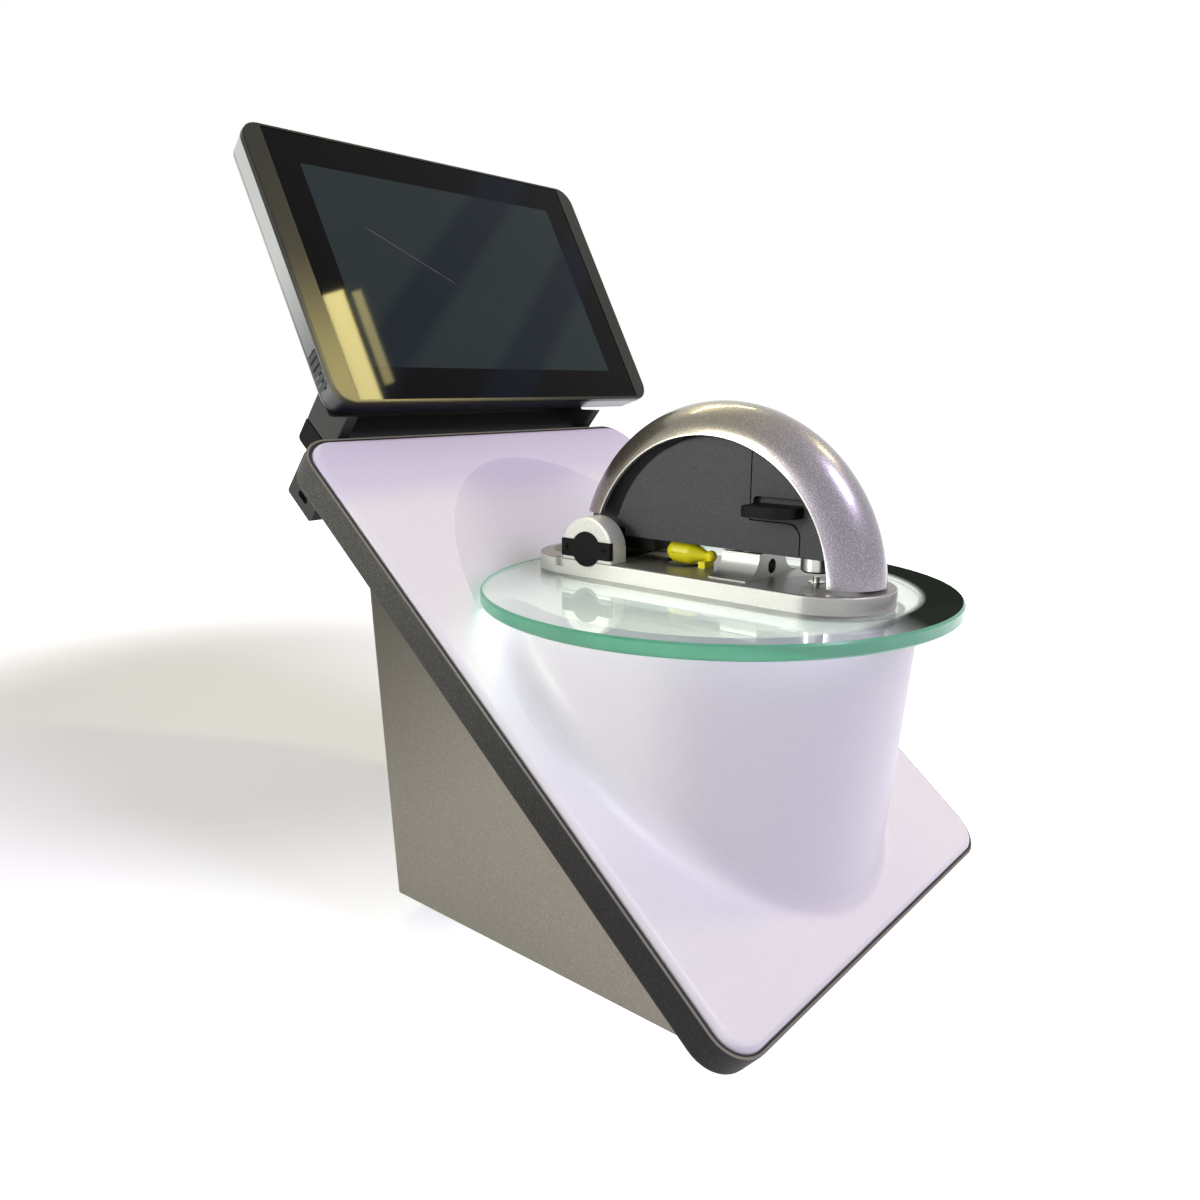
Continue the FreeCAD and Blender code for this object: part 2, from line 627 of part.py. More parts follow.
def make_deck():
    """Silver casting on the glass: slot-shaped plate, two hinge ears, wells and holes."""
    plate = stadium(DECK_LENGTH, DECK_WIDTH, DECK_Y, GLASS_TOP_Z, DECK_TOP_Z)
    plate = plate.makeFillet(DECK_EDGE, flat_edges_z(plate, DECK_TOP_Z))
    deck = plate.fuse(stadium(STEM_LENGTH, STEM_WIDTH, STEM_Y, POD_TOP_Z, DECK_TOP_Z - DECK_EDGE))
    outer_x = DECK_WIDTH / 2
    deck = deck.fuse(make_boss(-outer_x, -BOSS_INNER_X)).fuse(make_boss(BOSS_INNER_X, outer_x))
    for side in (-1, 1):
        deck = deck.cut(cap_outline(side, outer_x - CAP_THICKNESS + CAP_PROUD, outer_x + 1, CAP_PLAY,
                                    BOSS_RADIUS + 1))
    groove = BARREL_RADIUS + BARREL_GAP
    cuts = [
        cylinder_x(SHAFT_RADIUS + SHAFT_PLAY, -outer_x, outer_x, HINGE_Y, HINGE_Z),
        cylinder_x(groove, -BOSS_INNER_X, BOSS_INNER_X, HINGE_Y, HINGE_Z),
        cylinder_z(TAIL_HOLE_RADIUS, 0, TAIL_HOLE_Y, GLASS_TOP_Z - 1, DECK_TOP_Z + 1),
        cylinder_z(PEDESTAL_DISC_RADIUS + CAP_PLAY, 0, PEDESTAL_Y,
                   DECK_TOP_Z - PEDESTAL_DISC_THICKNESS, DECK_TOP_Z + 1),
        cylinder_z(PIN_BODY_RADIUS + SHAFT_PLAY, 0, PEDESTAL_Y, POD_TOP_Z - 1, DECK_TOP_Z),
        block(-CUVETTE / 2 - CUVETTE_PLAY, CUVETTE / 2 + CUVETTE_PLAY, WELL_FRONT_Y, WELL_REAR_Y,
              DECK_TOP_Z - WELL_DEPTH, DECK_TOP_Z + 1),
        block(-outer_x - 1, SIDE_NOTCH_WIDTH - outer_x, SIDE_NOTCH_Y - SIDE_NOTCH_LENGTH / 2,
              SIDE_NOTCH_Y + SIDE_NOTCH_LENGTH / 2, DECK_TOP_Z - SIDE_NOTCH_DEPTH, DECK_TOP_Z + 1),
    ]
    for hole_y in DECK_SCREW_Y:
        cuts.append(cylinder_z(DECK_SCREW_RADIUS + SHAFT_PLAY, 0, hole_y, POD_TOP_Z - 1,
                               POD_TOP_Z + DECK_SCREW_REACH + REST))
    for cut in cuts:
        deck = deck.cut(cut)
    return deck


def make_deck_screws():
    """Screws from inside the pod up into the deck's stem."""
    screws = []
    head_top = POD_TOP_Z - POD_WALL
    for hole_y in DECK_SCREW_Y:
        shank = cylinder_z(DECK_SCREW_RADIUS, 0, hole_y, head_top, POD_TOP_Z + DECK_SCREW_REACH)
        head = cylinder_z(2 * DECK_SCREW_RADIUS, 0, hole_y, head_top - DECK_SCREW_RADIUS, head_top)
        screws.append(shank.fuse(head))
    return Part.makeCompound(screws)


def make_hinge_cap(side):
    outer_x = DECK_WIDTH / 2
    cap = cap_outline(side, outer_x - CAP_THICKNESS + CAP_PROUD, outer_x + CAP_PROUD, 0,
                      CAP_EAR_SPAN / 2)
    for turn in (-1, 1):
        y = HINGE_Y + turn * CAP_SCREW_PITCH / 2
        x0, x1 = sorted((side * (outer_x - CAP_THICKNESS), side * (outer_x + 1)))
        cap = cap.cut(cylinder_x(CAP_SCREW_RADIUS + SHAFT_PLAY, x0, x1, y, HINGE_Z))
    return cap


def make_cap_screws():
    """Cross-head screws in the ears of both caps."""
    outer_x = DECK_WIDTH / 2
    screws = []
    for side in (-1, 1):
        for turn in (-1, 1):
            y = HINGE_Y + turn * CAP_SCREW_PITCH / 2
            x0, x1 = sorted((side * (outer_x - CAP_THICKNESS + CAP_PROUD), side * (outer_x + CAP_PROUD)))
            screw = cylinder_x(CAP_SCREW_RADIUS, x0, x1, y, HINGE_Z)
            tip = side * (outer_x + CAP_PROUD)
            for half_y, half_z in ((CROSS_LENGTH, CROSS_WIDTH), (CROSS_WIDTH, CROSS_LENGTH)):
                screw = screw.cut(block(tip - CROSS_DEPTH, tip + CROSS_DEPTH, y - half_y, y + half_y,
                                        HINGE_Z - half_z, HINGE_Z + half_z))
            screws.append(screw)
    return Part.makeCompound(screws)


def make_hinge_shaft():
    reach = DECK_WIDTH / 2 - CAP_THICKNESS + CAP_PROUD - CAP_PLAY
    return cylinder_x(SHAFT_RADIUS, -reach, reach, HINGE_Y, HINGE_Z)


def make_hinge_barrel():
    """Black tube of the arm round the shaft, with a foot that the arm's core is screwed to."""
    reach = BOSS_INNER_X - WASHER_SPACE
    barrel = cylinder_x(BARREL_RADIUS, -reach, reach, HINGE_Y, HINGE_Z)
    foot = block(-BARREL_FOOT_HALF, BARREL_FOOT_HALF, HINGE_Y - BARREL_FOOT_LENGTH, HINGE_Y,
                 WEB_LOW_Z - BARREL_FOOT_THICKNESS, WEB_LOW_Z)
    return barrel.fuse(foot).cut(cylinder_x(SHAFT_RADIUS + SHAFT_PLAY, -FAR, FAR, HINGE_Y, HINGE_Z))


def make_friction_washer(side):
    near = BOSS_INNER_X - WASHER_SPACE + SHAFT_PLAY
    x0, x1 = sorted((side * near, side * (BOSS_INNER_X - SHAFT_PLAY)))
    ring = cylinder_x(BARREL_RADIUS - 1, x0, x1, HINGE_Y, HINGE_Z)
    return ring.cut(cylinder_x(SHAFT_RADIUS + 2 * SHAFT_PLAY, -FAR, FAR, HINGE_Y, HINGE_Z))


def arm_tyre(inset, half_limit):
    """The arm's round form as a full wheel with a half-round tread, inset from the outside."""
    tread = ARM_HALF_WIDTH - inset
    middle = ARM_RADIUS - ARM_HALF_WIDTH
    low = middle / 3
    arc = Part.Arc(Vector(-tread, 0, middle), Vector(0, 0, middle + tread), Vector(tread, 0, middle)).toShape()
    corners = [Vector(-tread, 0, middle), Vector(-tread, 0, low), Vector(tread, 0, low),
               Vector(tread, 0, middle)]
    sides = [Part.LineSegment(corners[i], corners[i + 1]).toShape() for i in range(3)]
    face = Part.Face(Part.Wire([arc] + sides))
    wheel = face.revolve(Vector(0, 0, 0), Vector(1, 0, 0), 360)
    wheel.translate(Vector(0, ARM_CENTRE_Y, ARM_CENTRE_Z))
    if half_limit < tread:
        wheel = wheel.common(block(-half_limit, half_limit, -FAR, FAR, -FAR, FAR))
    return wheel


def make_arm_shell():
    """Painted arch of the arm: a round, hollow half ring, open towards the core."""
    shell = arm_tyre(0, FAR).cut(arm_tyre(ARM_WALL, FAR))
    shell = shell.cut(cylinder_x(RIM_RADIUS, -FAR, FAR, RIM_CENTRE_Y, RIM_CENTRE_Z))
    front_cut = block(-FAR, FAR, -FAR, ARM_CENTRE_Y, -FAR, DECK_TOP_Z + ARM_TIP_GAP)
    rear_cut = block(-FAR, FAR, ARM_CENTRE_Y, FAR, -FAR, DECK_TOP_Z + ARM_TAIL_RISE)
    return shell.cut(front_cut).cut(rear_cut)


def core_form():
    """The whole dark core of the arm before it is split in two."""
    disc = cylinder_x(WEB_RADIUS, -WEB_HALF_WIDTH, WEB_HALF_WIDTH, WEB_CENTRE_Y, WEB_CENTRE_Z)
    rims = edges_at(disc, lambda e: abs(abs(e.BoundBox.XMin) - WEB_HALF_WIDTH) < 1e-4
                    and abs(e.BoundBox.XMax - e.BoundBox.XMin) < 1e-4)
    disc = disc.makeFillet(WEB_EDGE, rims)
    spine = arm_tyre(ARM_WALL + SPINE_PLAY, SPINE_HALF_WIDTH)
    spine = spine.cut(cylinder_x(WEB_RADIUS - 2 * WEB_EDGE, -FAR, FAR, WEB_CENTRE_Y, WEB_CENTRE_Z))
    core = disc.fuse(spine)
    core = core.cut(block(-FAR, FAR, SEAM_LOW_Y - SEAM_TURN_RADIUS, FAR, -FAR, WEB_LOW_Z))
    core = core.cut(block(-FAR, FAR, -FAR, FAR, -FAR, NOSE_LOW_Z))
    core = core.cut(block(-FAR, FAR, HINGE_Y - BARREL_RADIUS, FAR, -FAR, TAIL_LOW_Z))
    core = core.cut(cylinder_x(BARREL_RADIUS + SEAM_GAP, -FAR, FAR, HINGE_Y, HINGE_Z))
    return core.cut(cylinder_z(BUSH_RADIUS + SHAFT_PLAY, 0, PEDESTAL_Y, 0, WEB_LOW_Z + BUSH_SOCKET))


def nose_region(gap):
    """Everything in front of the seam: down beside the tab, forward, and down again."""
    turn_z = DECK_TOP_Z + SEAM_TURN_RISE - gap
    low_y = SEAM_LOW_Y + gap
    radius = SEAM_TURN_RADIUS
    corner = Part.Arc(Vector(-FAR, low_y + radius, turn_z),
                      Vector(-FAR, low_y + radius * (1 - math.sqrt(0.5)),
                             turn_z - radius * (1 - math.sqrt(0.5))),
                      Vector(-FAR, low_y, turn_z - radius)).toShape()
    points = [(low_y, turn_z - radius), (low_y, 0), (-FAR, 0), (-FAR, FAR), (SEAM_Y + gap, FAR),
              (SEAM_Y + gap, turn_z), (low_y + radius, turn_z)]
    loop = [Vector(-FAR, y, z) for y, z in points]
    sides = [Part.LineSegment(loop[i], loop[i + 1]).toShape() for i in range(len(loop) - 1)]
    return Part.Face(Part.Wire(sides + [corner])).extrude(Vector(2 * FAR, 0, 0))


def make_arm_web():
    return core_form().cut(nose_region(SEAM_GAP))


def tab_form(play, reach):
    """Finger tab: a flat tongue through the nose, well rounded in front and less at the rear."""
    z0 = DECK_TOP_Z + TAB_RISE - TAB_THICKNESS / 2 - play
    z1 = DECK_TOP_Z + TAB_RISE + TAB_THICKNESS / 2 + play
    return rounded_slab(reach, TAB_Y - TAB_LENGTH / 2 - play, TAB_Y + TAB_LENGTH / 2 + play,
                        TAB_REAR_CORNER, z0, z1, TAB_FRONT_CORNER)


def make_arm_nose():
    """Front part of the core: holds the finger tab and the upper pedestal."""
    nose = core_form().common(nose_region(0))
    nose = nose.cut(tab_form(TAB_PLAY, TAB_REACH))
    pocket_low = DECK_TOP_Z + TAB_RISE
    pocket_high = pocket_low + TAB_THICKNESS / 2 + POCKET_HEIGHT
    for side in (-1, 1):
        x0, x1 = sorted((side * (WEB_HALF_WIDTH - POCKET_DEPTH), side * (WEB_HALF_WIDTH + 1)))
        pocket = block(x0, x1, TAB_Y - TAB_LENGTH / 2, TAB_Y + TAB_LENGTH / 2, pocket_low, pocket_high)
        top_edges = edges_at(pocket, lambda e: e.BoundBox.XLength > POCKET_DEPTH
                             and e.BoundBox.ZMin > pocket_high - REST)
        nose = nose.cut(pocket.makeFillet(POCKET_CORNER, top_edges))
    return nose


def make_lift_tab():
    return tab_form(0, TAB_REACH)


def make_upper_pedestal():
    """Steel bush that closes the liquid column from above."""
    low = DECK_TOP_Z + PIN_RISE + BUSH_GAP
    bush = cylinder_z(BUSH_RADIUS, 0, PEDESTAL_Y, low, WEB_LOW_Z + BUSH_SOCKET)
    bush = bush.makeChamfer(BOSS_EDGE, flat_edges_z(bush, low))
    return bush.cut(cylinder_z(FIBRE_BORE, 0, PEDESTAL_Y, low - 1, WEB_LOW_Z))


def make_pedestal_disc():
    disc = cylinder_z(PEDESTAL_DISC_RADIUS, 0, PEDESTAL_Y, DECK_TOP_Z - PEDESTAL_DISC_THICKNESS,
                      DECK_TOP_Z)
    return disc.cut(cylinder_z(PIN_BODY_RADIUS + SHAFT_PLAY, 0, PEDESTAL_Y, 0, FAR))


def make_lower_pedestal():
    """Steel pin that carries the drop, on a stouter body through the deck."""
    body = cylinder_z(PIN_BODY_RADIUS, 0, PEDESTAL_Y, POD_TOP_Z, DECK_TOP_Z + PIN_BODY_PROUD)
    pin = cylinder_z(PIN_RADIUS, 0, PEDESTAL_Y, DECK_TOP_Z, DECK_TOP_Z + PIN_RISE)
    return body.fuse(pin)


def make_cuvette_holder():
    """Saddle block with flared flanks, a square well open to the rear and a light hole."""
    low = DECK_TOP_Z
    high = DECK_TOP_Z + HOLDER_TOP_RISE
    foot_z = low + HOLDER_FOOT_EDGE
    mid_x = HOLDER_TOP_HALF + (HOLDER_FOOT_HALF - HOLDER_TOP_HALF) * 0.24
    mid_z = low + HOLDER_TOP_RISE * 0.35
    y = HOLDER_FRONT_Y
    left = Part.Arc(Vector(-HOLDER_TOP_HALF, y, high), Vector(-mid_x, y, mid_z),
                    Vector(-HOLDER_FOOT_HALF, y, foot_z)).toShape()
    right = Part.Arc(Vector(HOLDER_FOOT_HALF, y, foot_z), Vector(mid_x, y, mid_z),
                     Vector(HOLDER_TOP_HALF, y, high)).toShape()
    foot = [Vector(-HOLDER_FOOT_HALF, y, foot_z), Vector(-HOLDER_FOOT_HALF, y, low),
            Vector(HOLDER_FOOT_HALF, y, low), Vector(HOLDER_FOOT_HALF, y, foot_z)]
    lines = [Part.LineSegment(foot[i], foot[i + 1]).toShape() for i in range(3)]
    top = Part.LineSegment(Vector(HOLDER_TOP_HALF, y, high), Vector(-HOLDER_TOP_HALF, y, high)).toShape()
    solid = Part.Face(Part.Wire([left] + lines + [right, top])).extrude(Vector(0, HOLDER_DEPTH, 0))
    half = CUVETTE / 2 + CUVETTE_PLAY
    well = block(-half, half, WELL_FRONT_Y, HOLDER_REAR_Y + 1, low - 1, high + 1)
    window = cylinder_y(LIGHT_HOLE_RADIUS, 0, low + LIGHT_HOLE_RISE, y - 1, HOLDER_REAR_Y)
    return solid.cut(well).cut(window)


def make_cuvette_spring():
    """Bent leaf that pushes a cuvette to the front wall of its well."""
    y = WELL_REAR_Y + REST
    foot_end = y + SPRING_FOOT
    top = DECK_TOP_Z + HOLDER_TOP_RISE - 1
    points = [(y, DECK_TOP_Z), (foot_end, DECK_TOP_Z), (foot_end, DECK_TOP_Z + SPRING_LEAF),
              (y + SPRING_LEAF, DECK_TOP_Z + SPRING_LEAF), (y + SPRING_LEAF, top), (y, top)]
    return profile_x(points, -CUVETTE / 3, CUVETTE / 3)


def round_arc(centre_y, radius, first, last):
    """Arc about a point of the turning axis, between two angles from the rear, in degrees."""
    points = []
    for angle in (first, (first + last) / 2, last):
        turn = math.radians(angle)
        points.append(Vector(0, centre_y + radius * math.cos(turn), radius * math.sin(turn)))
    return Part.Arc(*points).toShape(), points[0], points[2]


def make_fibre_boot():
    """Yellow moulded boot: a bulb that runs out in a cone to a knob, lying on the deck."""
    radius = BOOT_HEIGHT / 2
    centre = (BOOT_LENGTH - BOOT_HEIGHT) / 2
    neck_turn = math.degrees(math.asin(BOOT_NECK_RADIUS / BOOT_KNOB_RADIUS))
    neck_y = BOOT_KNOB_RADIUS * math.cos(math.radians(neck_turn)) - BOOT_TAIL_LENGTH
    run = -centre - neck_y
    lean = math.atan2(BOOT_NECK_RADIUS, run) + math.acos(radius / math.hypot(run, BOOT_NECK_RADIUS))
    rear_turn = math.degrees(math.asin(BOOT_FLAT_RADIUS / radius))
    front_turn = 180 - math.degrees(math.asin(BOOT_FLAT_RADIUS / BOOT_KNOB_RADIUS))
    bulb, bulb_start, bulb_end = round_arc(centre, radius, rear_turn, 90)
    chest, chest_start, chest_end = round_arc(-centre, radius, 90, 180 - math.degrees(lean))
    knob, knob_start, knob_end = round_arc(-BOOT_TAIL_LENGTH, BOOT_KNOB_RADIUS, neck_turn, front_turn)
    lines = [(bulb_end, chest_start), (chest_end, knob_start), (knob_end, Vector(0, knob_end.y, 0)),
             (Vector(0, knob_end.y, 0), Vector(0, bulb_start.y, 0)), (Vector(0, bulb_start.y, 0), bulb_start)]
    edges = [Part.LineSegment(first, last).toShape() for first, last in lines]
    wire = Part.Wire([bulb, edges[0], chest, edges[1], knob] + edges[2:])
    boot = Part.Face(wire).revolve(Vector(0, 0, 0), Vector(0, 1, 0), 360)
    boot.rotate(Vector(0, 0, 0), Vector(1, 0, 0), BOOT_DROOP)
    z = DECK_TOP_Z + radius
    boot.translate(Vector(0, BOOT_Y, z))
    heel = block(-HEEL_WIDTH, BOOT_NECK_RADIUS / 3, BOOT_TAIL_Y - HEEL_LENGTH / 3, BOOT_TAIL_Y + HEEL_LENGTH * 2 / 3,
                 DECK_TOP_Z, DECK_TOP_Z + HEEL_HEIGHT)
    slit = block(-BOOT_HEIGHT, 1 - radius, BOOT_Y - SLIT_LENGTH / 2, BOOT_Y + SLIT_LENGTH / 2,
                 z - SLIT_WIDTH / 2, z + SLIT_WIDTH / 2)
    floor = block(-FAR, FAR, -FAR, FAR, -FAR, DECK_TOP_Z)
    return boot.fuse(heel).cut(slit).cut(floor)


def make_grommet():
    ring = cylinder_z(GROMMET_RADIUS, 0, BOOT_Y, DECK_TOP_Z, DECK_TOP_Z + GROMMET_TUBE)
    return ring.cut(cylinder_z(GROMMET_RADIUS - 2 * GROMMET_TUBE, 0, BOOT_Y, 0, FAR))


def stand_form(inset, low_z, high_z):
    """The wedge stand's outline, leaning back, with a gently curved rear."""
    half = STAND_HALF_WIDTH - inset
    front = STAND_FRONT_Y
    rear = STAND_REAR_Y - inset + (low_z - STAND_LIFT) * STAND_LEAN
    radius = STAND_CORNER
    left_corner = Part.Arc(Vector(-half, rear - radius, low_z),
                           Vector(-half + radius * 0.29289, rear - radius * 0.29289, low_z),
                           Vector(-half + radius, rear, low_z)).toShape()
    back = Part.Arc(Vector(-half + radius, rear, low_z), Vector(0, rear + STAND_CROWN, low_z),
                    Vector(half - radius, rear, low_z)).toShape()
    right_corner = Part.Arc(Vector(half - radius, rear, low_z),
                            Vector(half - radius * 0.29289, rear - radius * 0.29289, low_z),
                            Vector(half, rear - radius, low_z)).toShape()
    loop = [Vector(half, rear - radius, low_z), Vector(half, front, low_z),
            Vector(-half, front, low_z), Vector(-half, rear - radius, low_z)]
    sides = [Part.LineSegment(loop[i], loop[i + 1]).toShape() for i in range(3)]
    face = Part.Face(Part.Wire([left_corner, back, right_corner] + sides))
    rise = high_z - low_z
    return face.extrude(Vector(0, rise * STAND_LEAN, rise))


def rear_y(x, z):
    """Distance back of the stand's rear face at a height and width."""
    return STAND_REAR_Y + STAND_LEAN * (z - STAND_LIFT) + STAND_CROWN * (1 - (x / STAND_HALF_WIDTH) ** 2)


def make_stand():
    """Folded sheet stand: two cheeks and a curved back, open above and below."""
    shell = stand_form(0, STAND_LIFT, STAND_HIGH_Z)
    hollow = stand_form(STAND_WALL, 0, STAND_HIGH_Z + 1)
    shell = shell.cut(hollow.fuse(block(STAND_WALL - STAND_HALF_WIDTH, STAND_HALF_WIDTH - STAND_WALL,
                                        0, STAND_FRONT_Y + 2, 0, FAR)))
    above = in_panel(block(-FAR, FAR, -FAR, FAR, -FRAME_DEPTH, FAR))
    window = block(-PORT_HALF_WIDTH, PORT_HALF_WIDTH, STAND_REAR_Y - 10, FAR, PORT_LOW_Z,
                   PORT_LOW_Z + PORT_HEIGHT)
    return shell.cut(above).cut(window)


def make_base_plate():
    """Bottom plate inside the stand, with posts for the boards and the optics."""
    plate = stand_form(STAND_WALL + BASE_PLAY, STAND_LIFT, STAND_LIFT + BASE_THICKNESS)
    plate = plate.cut(in_panel(block(-FAR, FAR, -FAR, FAR, -FRAME_DEPTH - REST, FAR)))
    top = STAND_LIFT + BASE_THICKNESS
    for side in (-1, 1):
        for y in (BOARD_FRONT_Y, BOARD_REAR_Y):
            plate = plate.fuse(cylinder_z(POST_RADIUS, side * POST_X, y, top, BOARD_Z))
        plate = plate.fuse(cylinder_z(POST_RADIUS, side * PORT_POST_X, PORT_BOARD_Y, top, PORT_BOARD_Z))
    return plate


def make_foot(x, y):
    return Part.makeCone(FOOT_RADIUS - FOOT_TAPER, FOOT_RADIUS, STAND_LIFT, Vector(x, y, 0))


def make_main_board():
    """Main board with its processor and a connector, let out round the tall posts."""
    board = block(-BOARD_HALF_X, BOARD_HALF_X, BOARD_FRONT_Y - POST_RADIUS, BOARD_REAR_Y + POST_RADIUS,
                  BOARD_Z, BOARD_Z + BOARD_THICKNESS)
    top = BOARD_Z + BOARD_THICKNESS
    middle = BOARD_REAR_Y - CHIP_DEPTH
    half = CONNECTOR_WIDTH / 2
    board = board.fuse(block(-CHIP_HALF, CHIP_HALF, middle, BOARD_REAR_Y, top, top + CHIP_HEIGHT))
    return board.fuse(block(CONNECTOR_X - half, CONNECTOR_X + half, middle - half, middle + half,
                            top, top + CONNECTOR_HEIGHT))


def make_port_panel():
    """Dark plate set into the back of the stand, cut for the sockets and the button."""
    low = PORT_LOW_Z + PORT_PLAY
    high = PORT_LOW_Z + PORT_HEIGHT - PORT_PLAY
    half = PORT_HALF_WIDTH - PORT_PLAY
    skin = stand_form(PORT_RECESS, 0, STAND_HIGH_Z).cut(stand_form(PORT_RECESS + PORT_WALL, -1, FAR))
    face = skin.common(block(-half, half, STAND_REAR_Y - 10, FAR, low, high))
    inner = STAND_WALL + PORT_PLAY / 2
    back = stand_form(inner, 0, STAND_HIGH_Z).cut(stand_form(PORT_RECESS + PORT_WALL, -1, FAR))
    lip = back.common(block(-half - PORT_LIP, half + PORT_LIP, STAND_REAR_Y - 10, FAR,
                            low - PORT_LIP, high + PORT_LIP))
    panel = face.fuse(lip).removeSplitter()
    panel = panel.cut(cylinder_y(BUTTON_RADIUS + BUTTON_PLAY, BUTTON_X, BUTTON_Z, 0, FAR))
    panel = panel.cut(cylinder_y(INLET_RADIUS + PORT_PLAY, INLET_X, INLET_Z, 0, FAR))
    for x, width, height in socket_list():
        panel = panel.cut(block(x - width / 2 - PORT_PLAY, x + width / 2 + PORT_PLAY, 0, FAR,
                                SOCKET_LOW_Z - PORT_PLAY, SOCKET_LOW_Z + height + PORT_PLAY))
    return panel


def socket_list():
    sockets = [(x, USB_WIDTH, USB_HEIGHT) for x in USB_X]
    sockets.append((NETWORK_X, NETWORK_WIDTH, NETWORK_HEIGHT))
    return sockets


def socket_face_y(x):
    return rear_y(x, SOCKET_LOW_Z) - PORT_RECESS - PORT_PLAY


def make_usb_socket(x):
    """Folded metal shell with a tongue inside."""
    face_y = socket_face_y(x)
    back_y = face_y - SOCKET_DEPTH
    low = SOCKET_LOW_Z
    high = low + USB_HEIGHT
    shell = block(x - USB_WIDTH / 2, x + USB_WIDTH / 2, back_y, face_y, low, high)
    shell = shell.cut(block(x - USB_WIDTH / 2 + SHEET, x + USB_WIDTH / 2 - SHEET,
                            back_y + SOCKET_BACK, face_y + 1, low + SHEET, high - SHEET))
    tongue = block(x - USB_WIDTH / 3, x + USB_WIDTH / 3, back_y + SOCKET_BACK / 2, face_y - TONGUE_SET,
                   low + USB_HEIGHT * TONGUE_LOW, low + USB_HEIGHT * TONGUE_HIGH)
    return shell.fuse(tongue)


def make_network_socket():
    """Square socket with a stepped mouth."""
    x = NETWORK_X
    face_y = socket_face_y(x)
    back_y = face_y - SOCKET_DEPTH
    low = SOCKET_LOW_Z
    body = block(x - NETWORK_WIDTH / 2, x + NETWORK_WIDTH / 2, back_y - NETWORK_BACK, face_y,
                 low, low + NETWORK_HEIGHT)
    mouth = block(x - NETWORK_MOUTH / 2, x + NETWORK_MOUTH / 2, back_y, face_y + 1,
                  low + NETWORK_FLOOR, low + NETWORK_HEIGHT - NETWORK_ROOF)
    key = block(x - NETWORK_KEY / 2, x + NETWORK_KEY / 2, back_y, face_y + 1,
                low + NETWORK_ROOF, low + NETWORK_FLOOR + SHAFT_PLAY)
    return body.cut(mouth).cut(key)


def make_power_inlet():
    """Round inlet with its middle pin, on a foot that stands on the board."""
    face_y = rear_y(INLET_X, INLET_Z) - PORT_RECESS - PORT_PLAY
    back_y = face_y - SOCKET_DEPTH
    barrel = cylinder_y(INLET_RADIUS, INLET_X, INLET_Z, back_y, face_y)
    body = block(INLET_X - INLET_RADIUS, INLET_X + INLET_RADIUS, back_y, face_y - PORT_WALL - TONGUE_SET,
                 SOCKET_LOW_Z, INLET_Z)
    bore = cylinder_y(INLET_BORE, INLET_X, INLET_Z, back_y + SOCKET_BACK, face_y + 1)
    pin = cylinder_y(INLET_PIN, INLET_X, INLET_Z, back_y + SOCKET_BACK / 2, face_y - TONGUE_SET)
    return barrel.fuse(body).cut(bore).fuse(pin)


def make_power_button():
    """Round push button with a collar behind the panel."""
    skin_y = rear_y(BUTTON_X, BUTTON_Z) - PORT_RECESS
    cap = cylinder_y(BUTTON_RADIUS, BUTTON_X, BUTTON_Z, skin_y - PORT_WALL - BUTTON_COLLAR,
                     skin_y + BUTTON_PROUD)
    face = edges_at(cap, lambda e: abs(e.BoundBox.YMin - skin_y - BUTTON_PROUD) < 1e-4
                    and abs(e.BoundBox.YMax - skin_y - BUTTON_PROUD) < 1e-4)
    cap = cap.makeFillet(DECK_EDGE, face)
    collar_y = skin_y - PORT_WALL - BUTTON_COLLAR
    collar = cylinder_y(BUTTON_RADIUS + BUTTON_RIM, BUTTON_X, BUTTON_Z, collar_y - BUTTON_RIM, collar_y)
    return cap.fuse(collar)


def make_power_switch():
    """Switch body on the socket board, a travel behind the button."""
    front = rear_y(BUTTON_X, BUTTON_Z) - PORT_RECESS - PORT_WALL - BUTTON_COLLAR - BUTTON_RIM
    near = front - BUTTON_TRAVEL - REST
    return block(BUTTON_X - SWITCH_HALF, BUTTON_X + SWITCH_HALF, near - SWITCH_DEPTH, near,
                 SOCKET_LOW_Z, BUTTON_Z + SWITCH_HALF)


def make_port_board():
    """Socket board, held on the two tall posts."""
    rear = socket_face_y(0) - PORT_WALL - PORT_BOARD_MARGIN - TONGUE_SET
    return block(PORT_BOARD_MARGIN - PORT_HALF_WIDTH, PORT_HALF_WIDTH - PORT_BOARD_MARGIN,
                 PORT_BOARD_Y - POST_RADIUS, rear, PORT_BOARD_Z, SOCKET_LOW_Z)


def make_optics_bracket():
    """Bent plate that carries the optical bench up into the pod."""
    low = BOARD_Z + BOARD_THICKNESS
    shelf = block(-OPTICS_HALF_X - PLATE, OPTICS_HALF_X + PLATE, OPTICS_FRONT_Y, OPTICS_REAR_Y,
                  OPTICS_Z - PLATE, OPTICS_Z)
    for side in (-1, 1):
        x0, x1 = sorted((side * OPTICS_HALF_X, side * (OPTICS_HALF_X + PLATE)))
        shelf = shelf.fuse(block(x0, x1, OPTICS_FRONT_Y + OPTICS_LEG_INSET, OPTICS_REAR_Y, low, OPTICS_Z))
    return shelf


def make_spectrometer():
    """Closed optical bench with a fibre socket towards the pedestal."""
    half = OPTICS_HALF_X - BENCH_MARGIN
    top = OPTICS_Z + BENCH_HEIGHT
    box = block(-half, half, OPTICS_FRONT_Y + BENCH_FRONT_MARGIN, OPTICS_REAR_Y - BENCH_MARGIN, OPTICS_Z, top)
    return box.fuse(cylinder_z(FIBRE_SOCKET_RADIUS, 0, OPTICS_FRONT_Y + 2 * BENCH_FRONT_MARGIN, top,
                               top + FIBRE_SOCKET_HEIGHT))


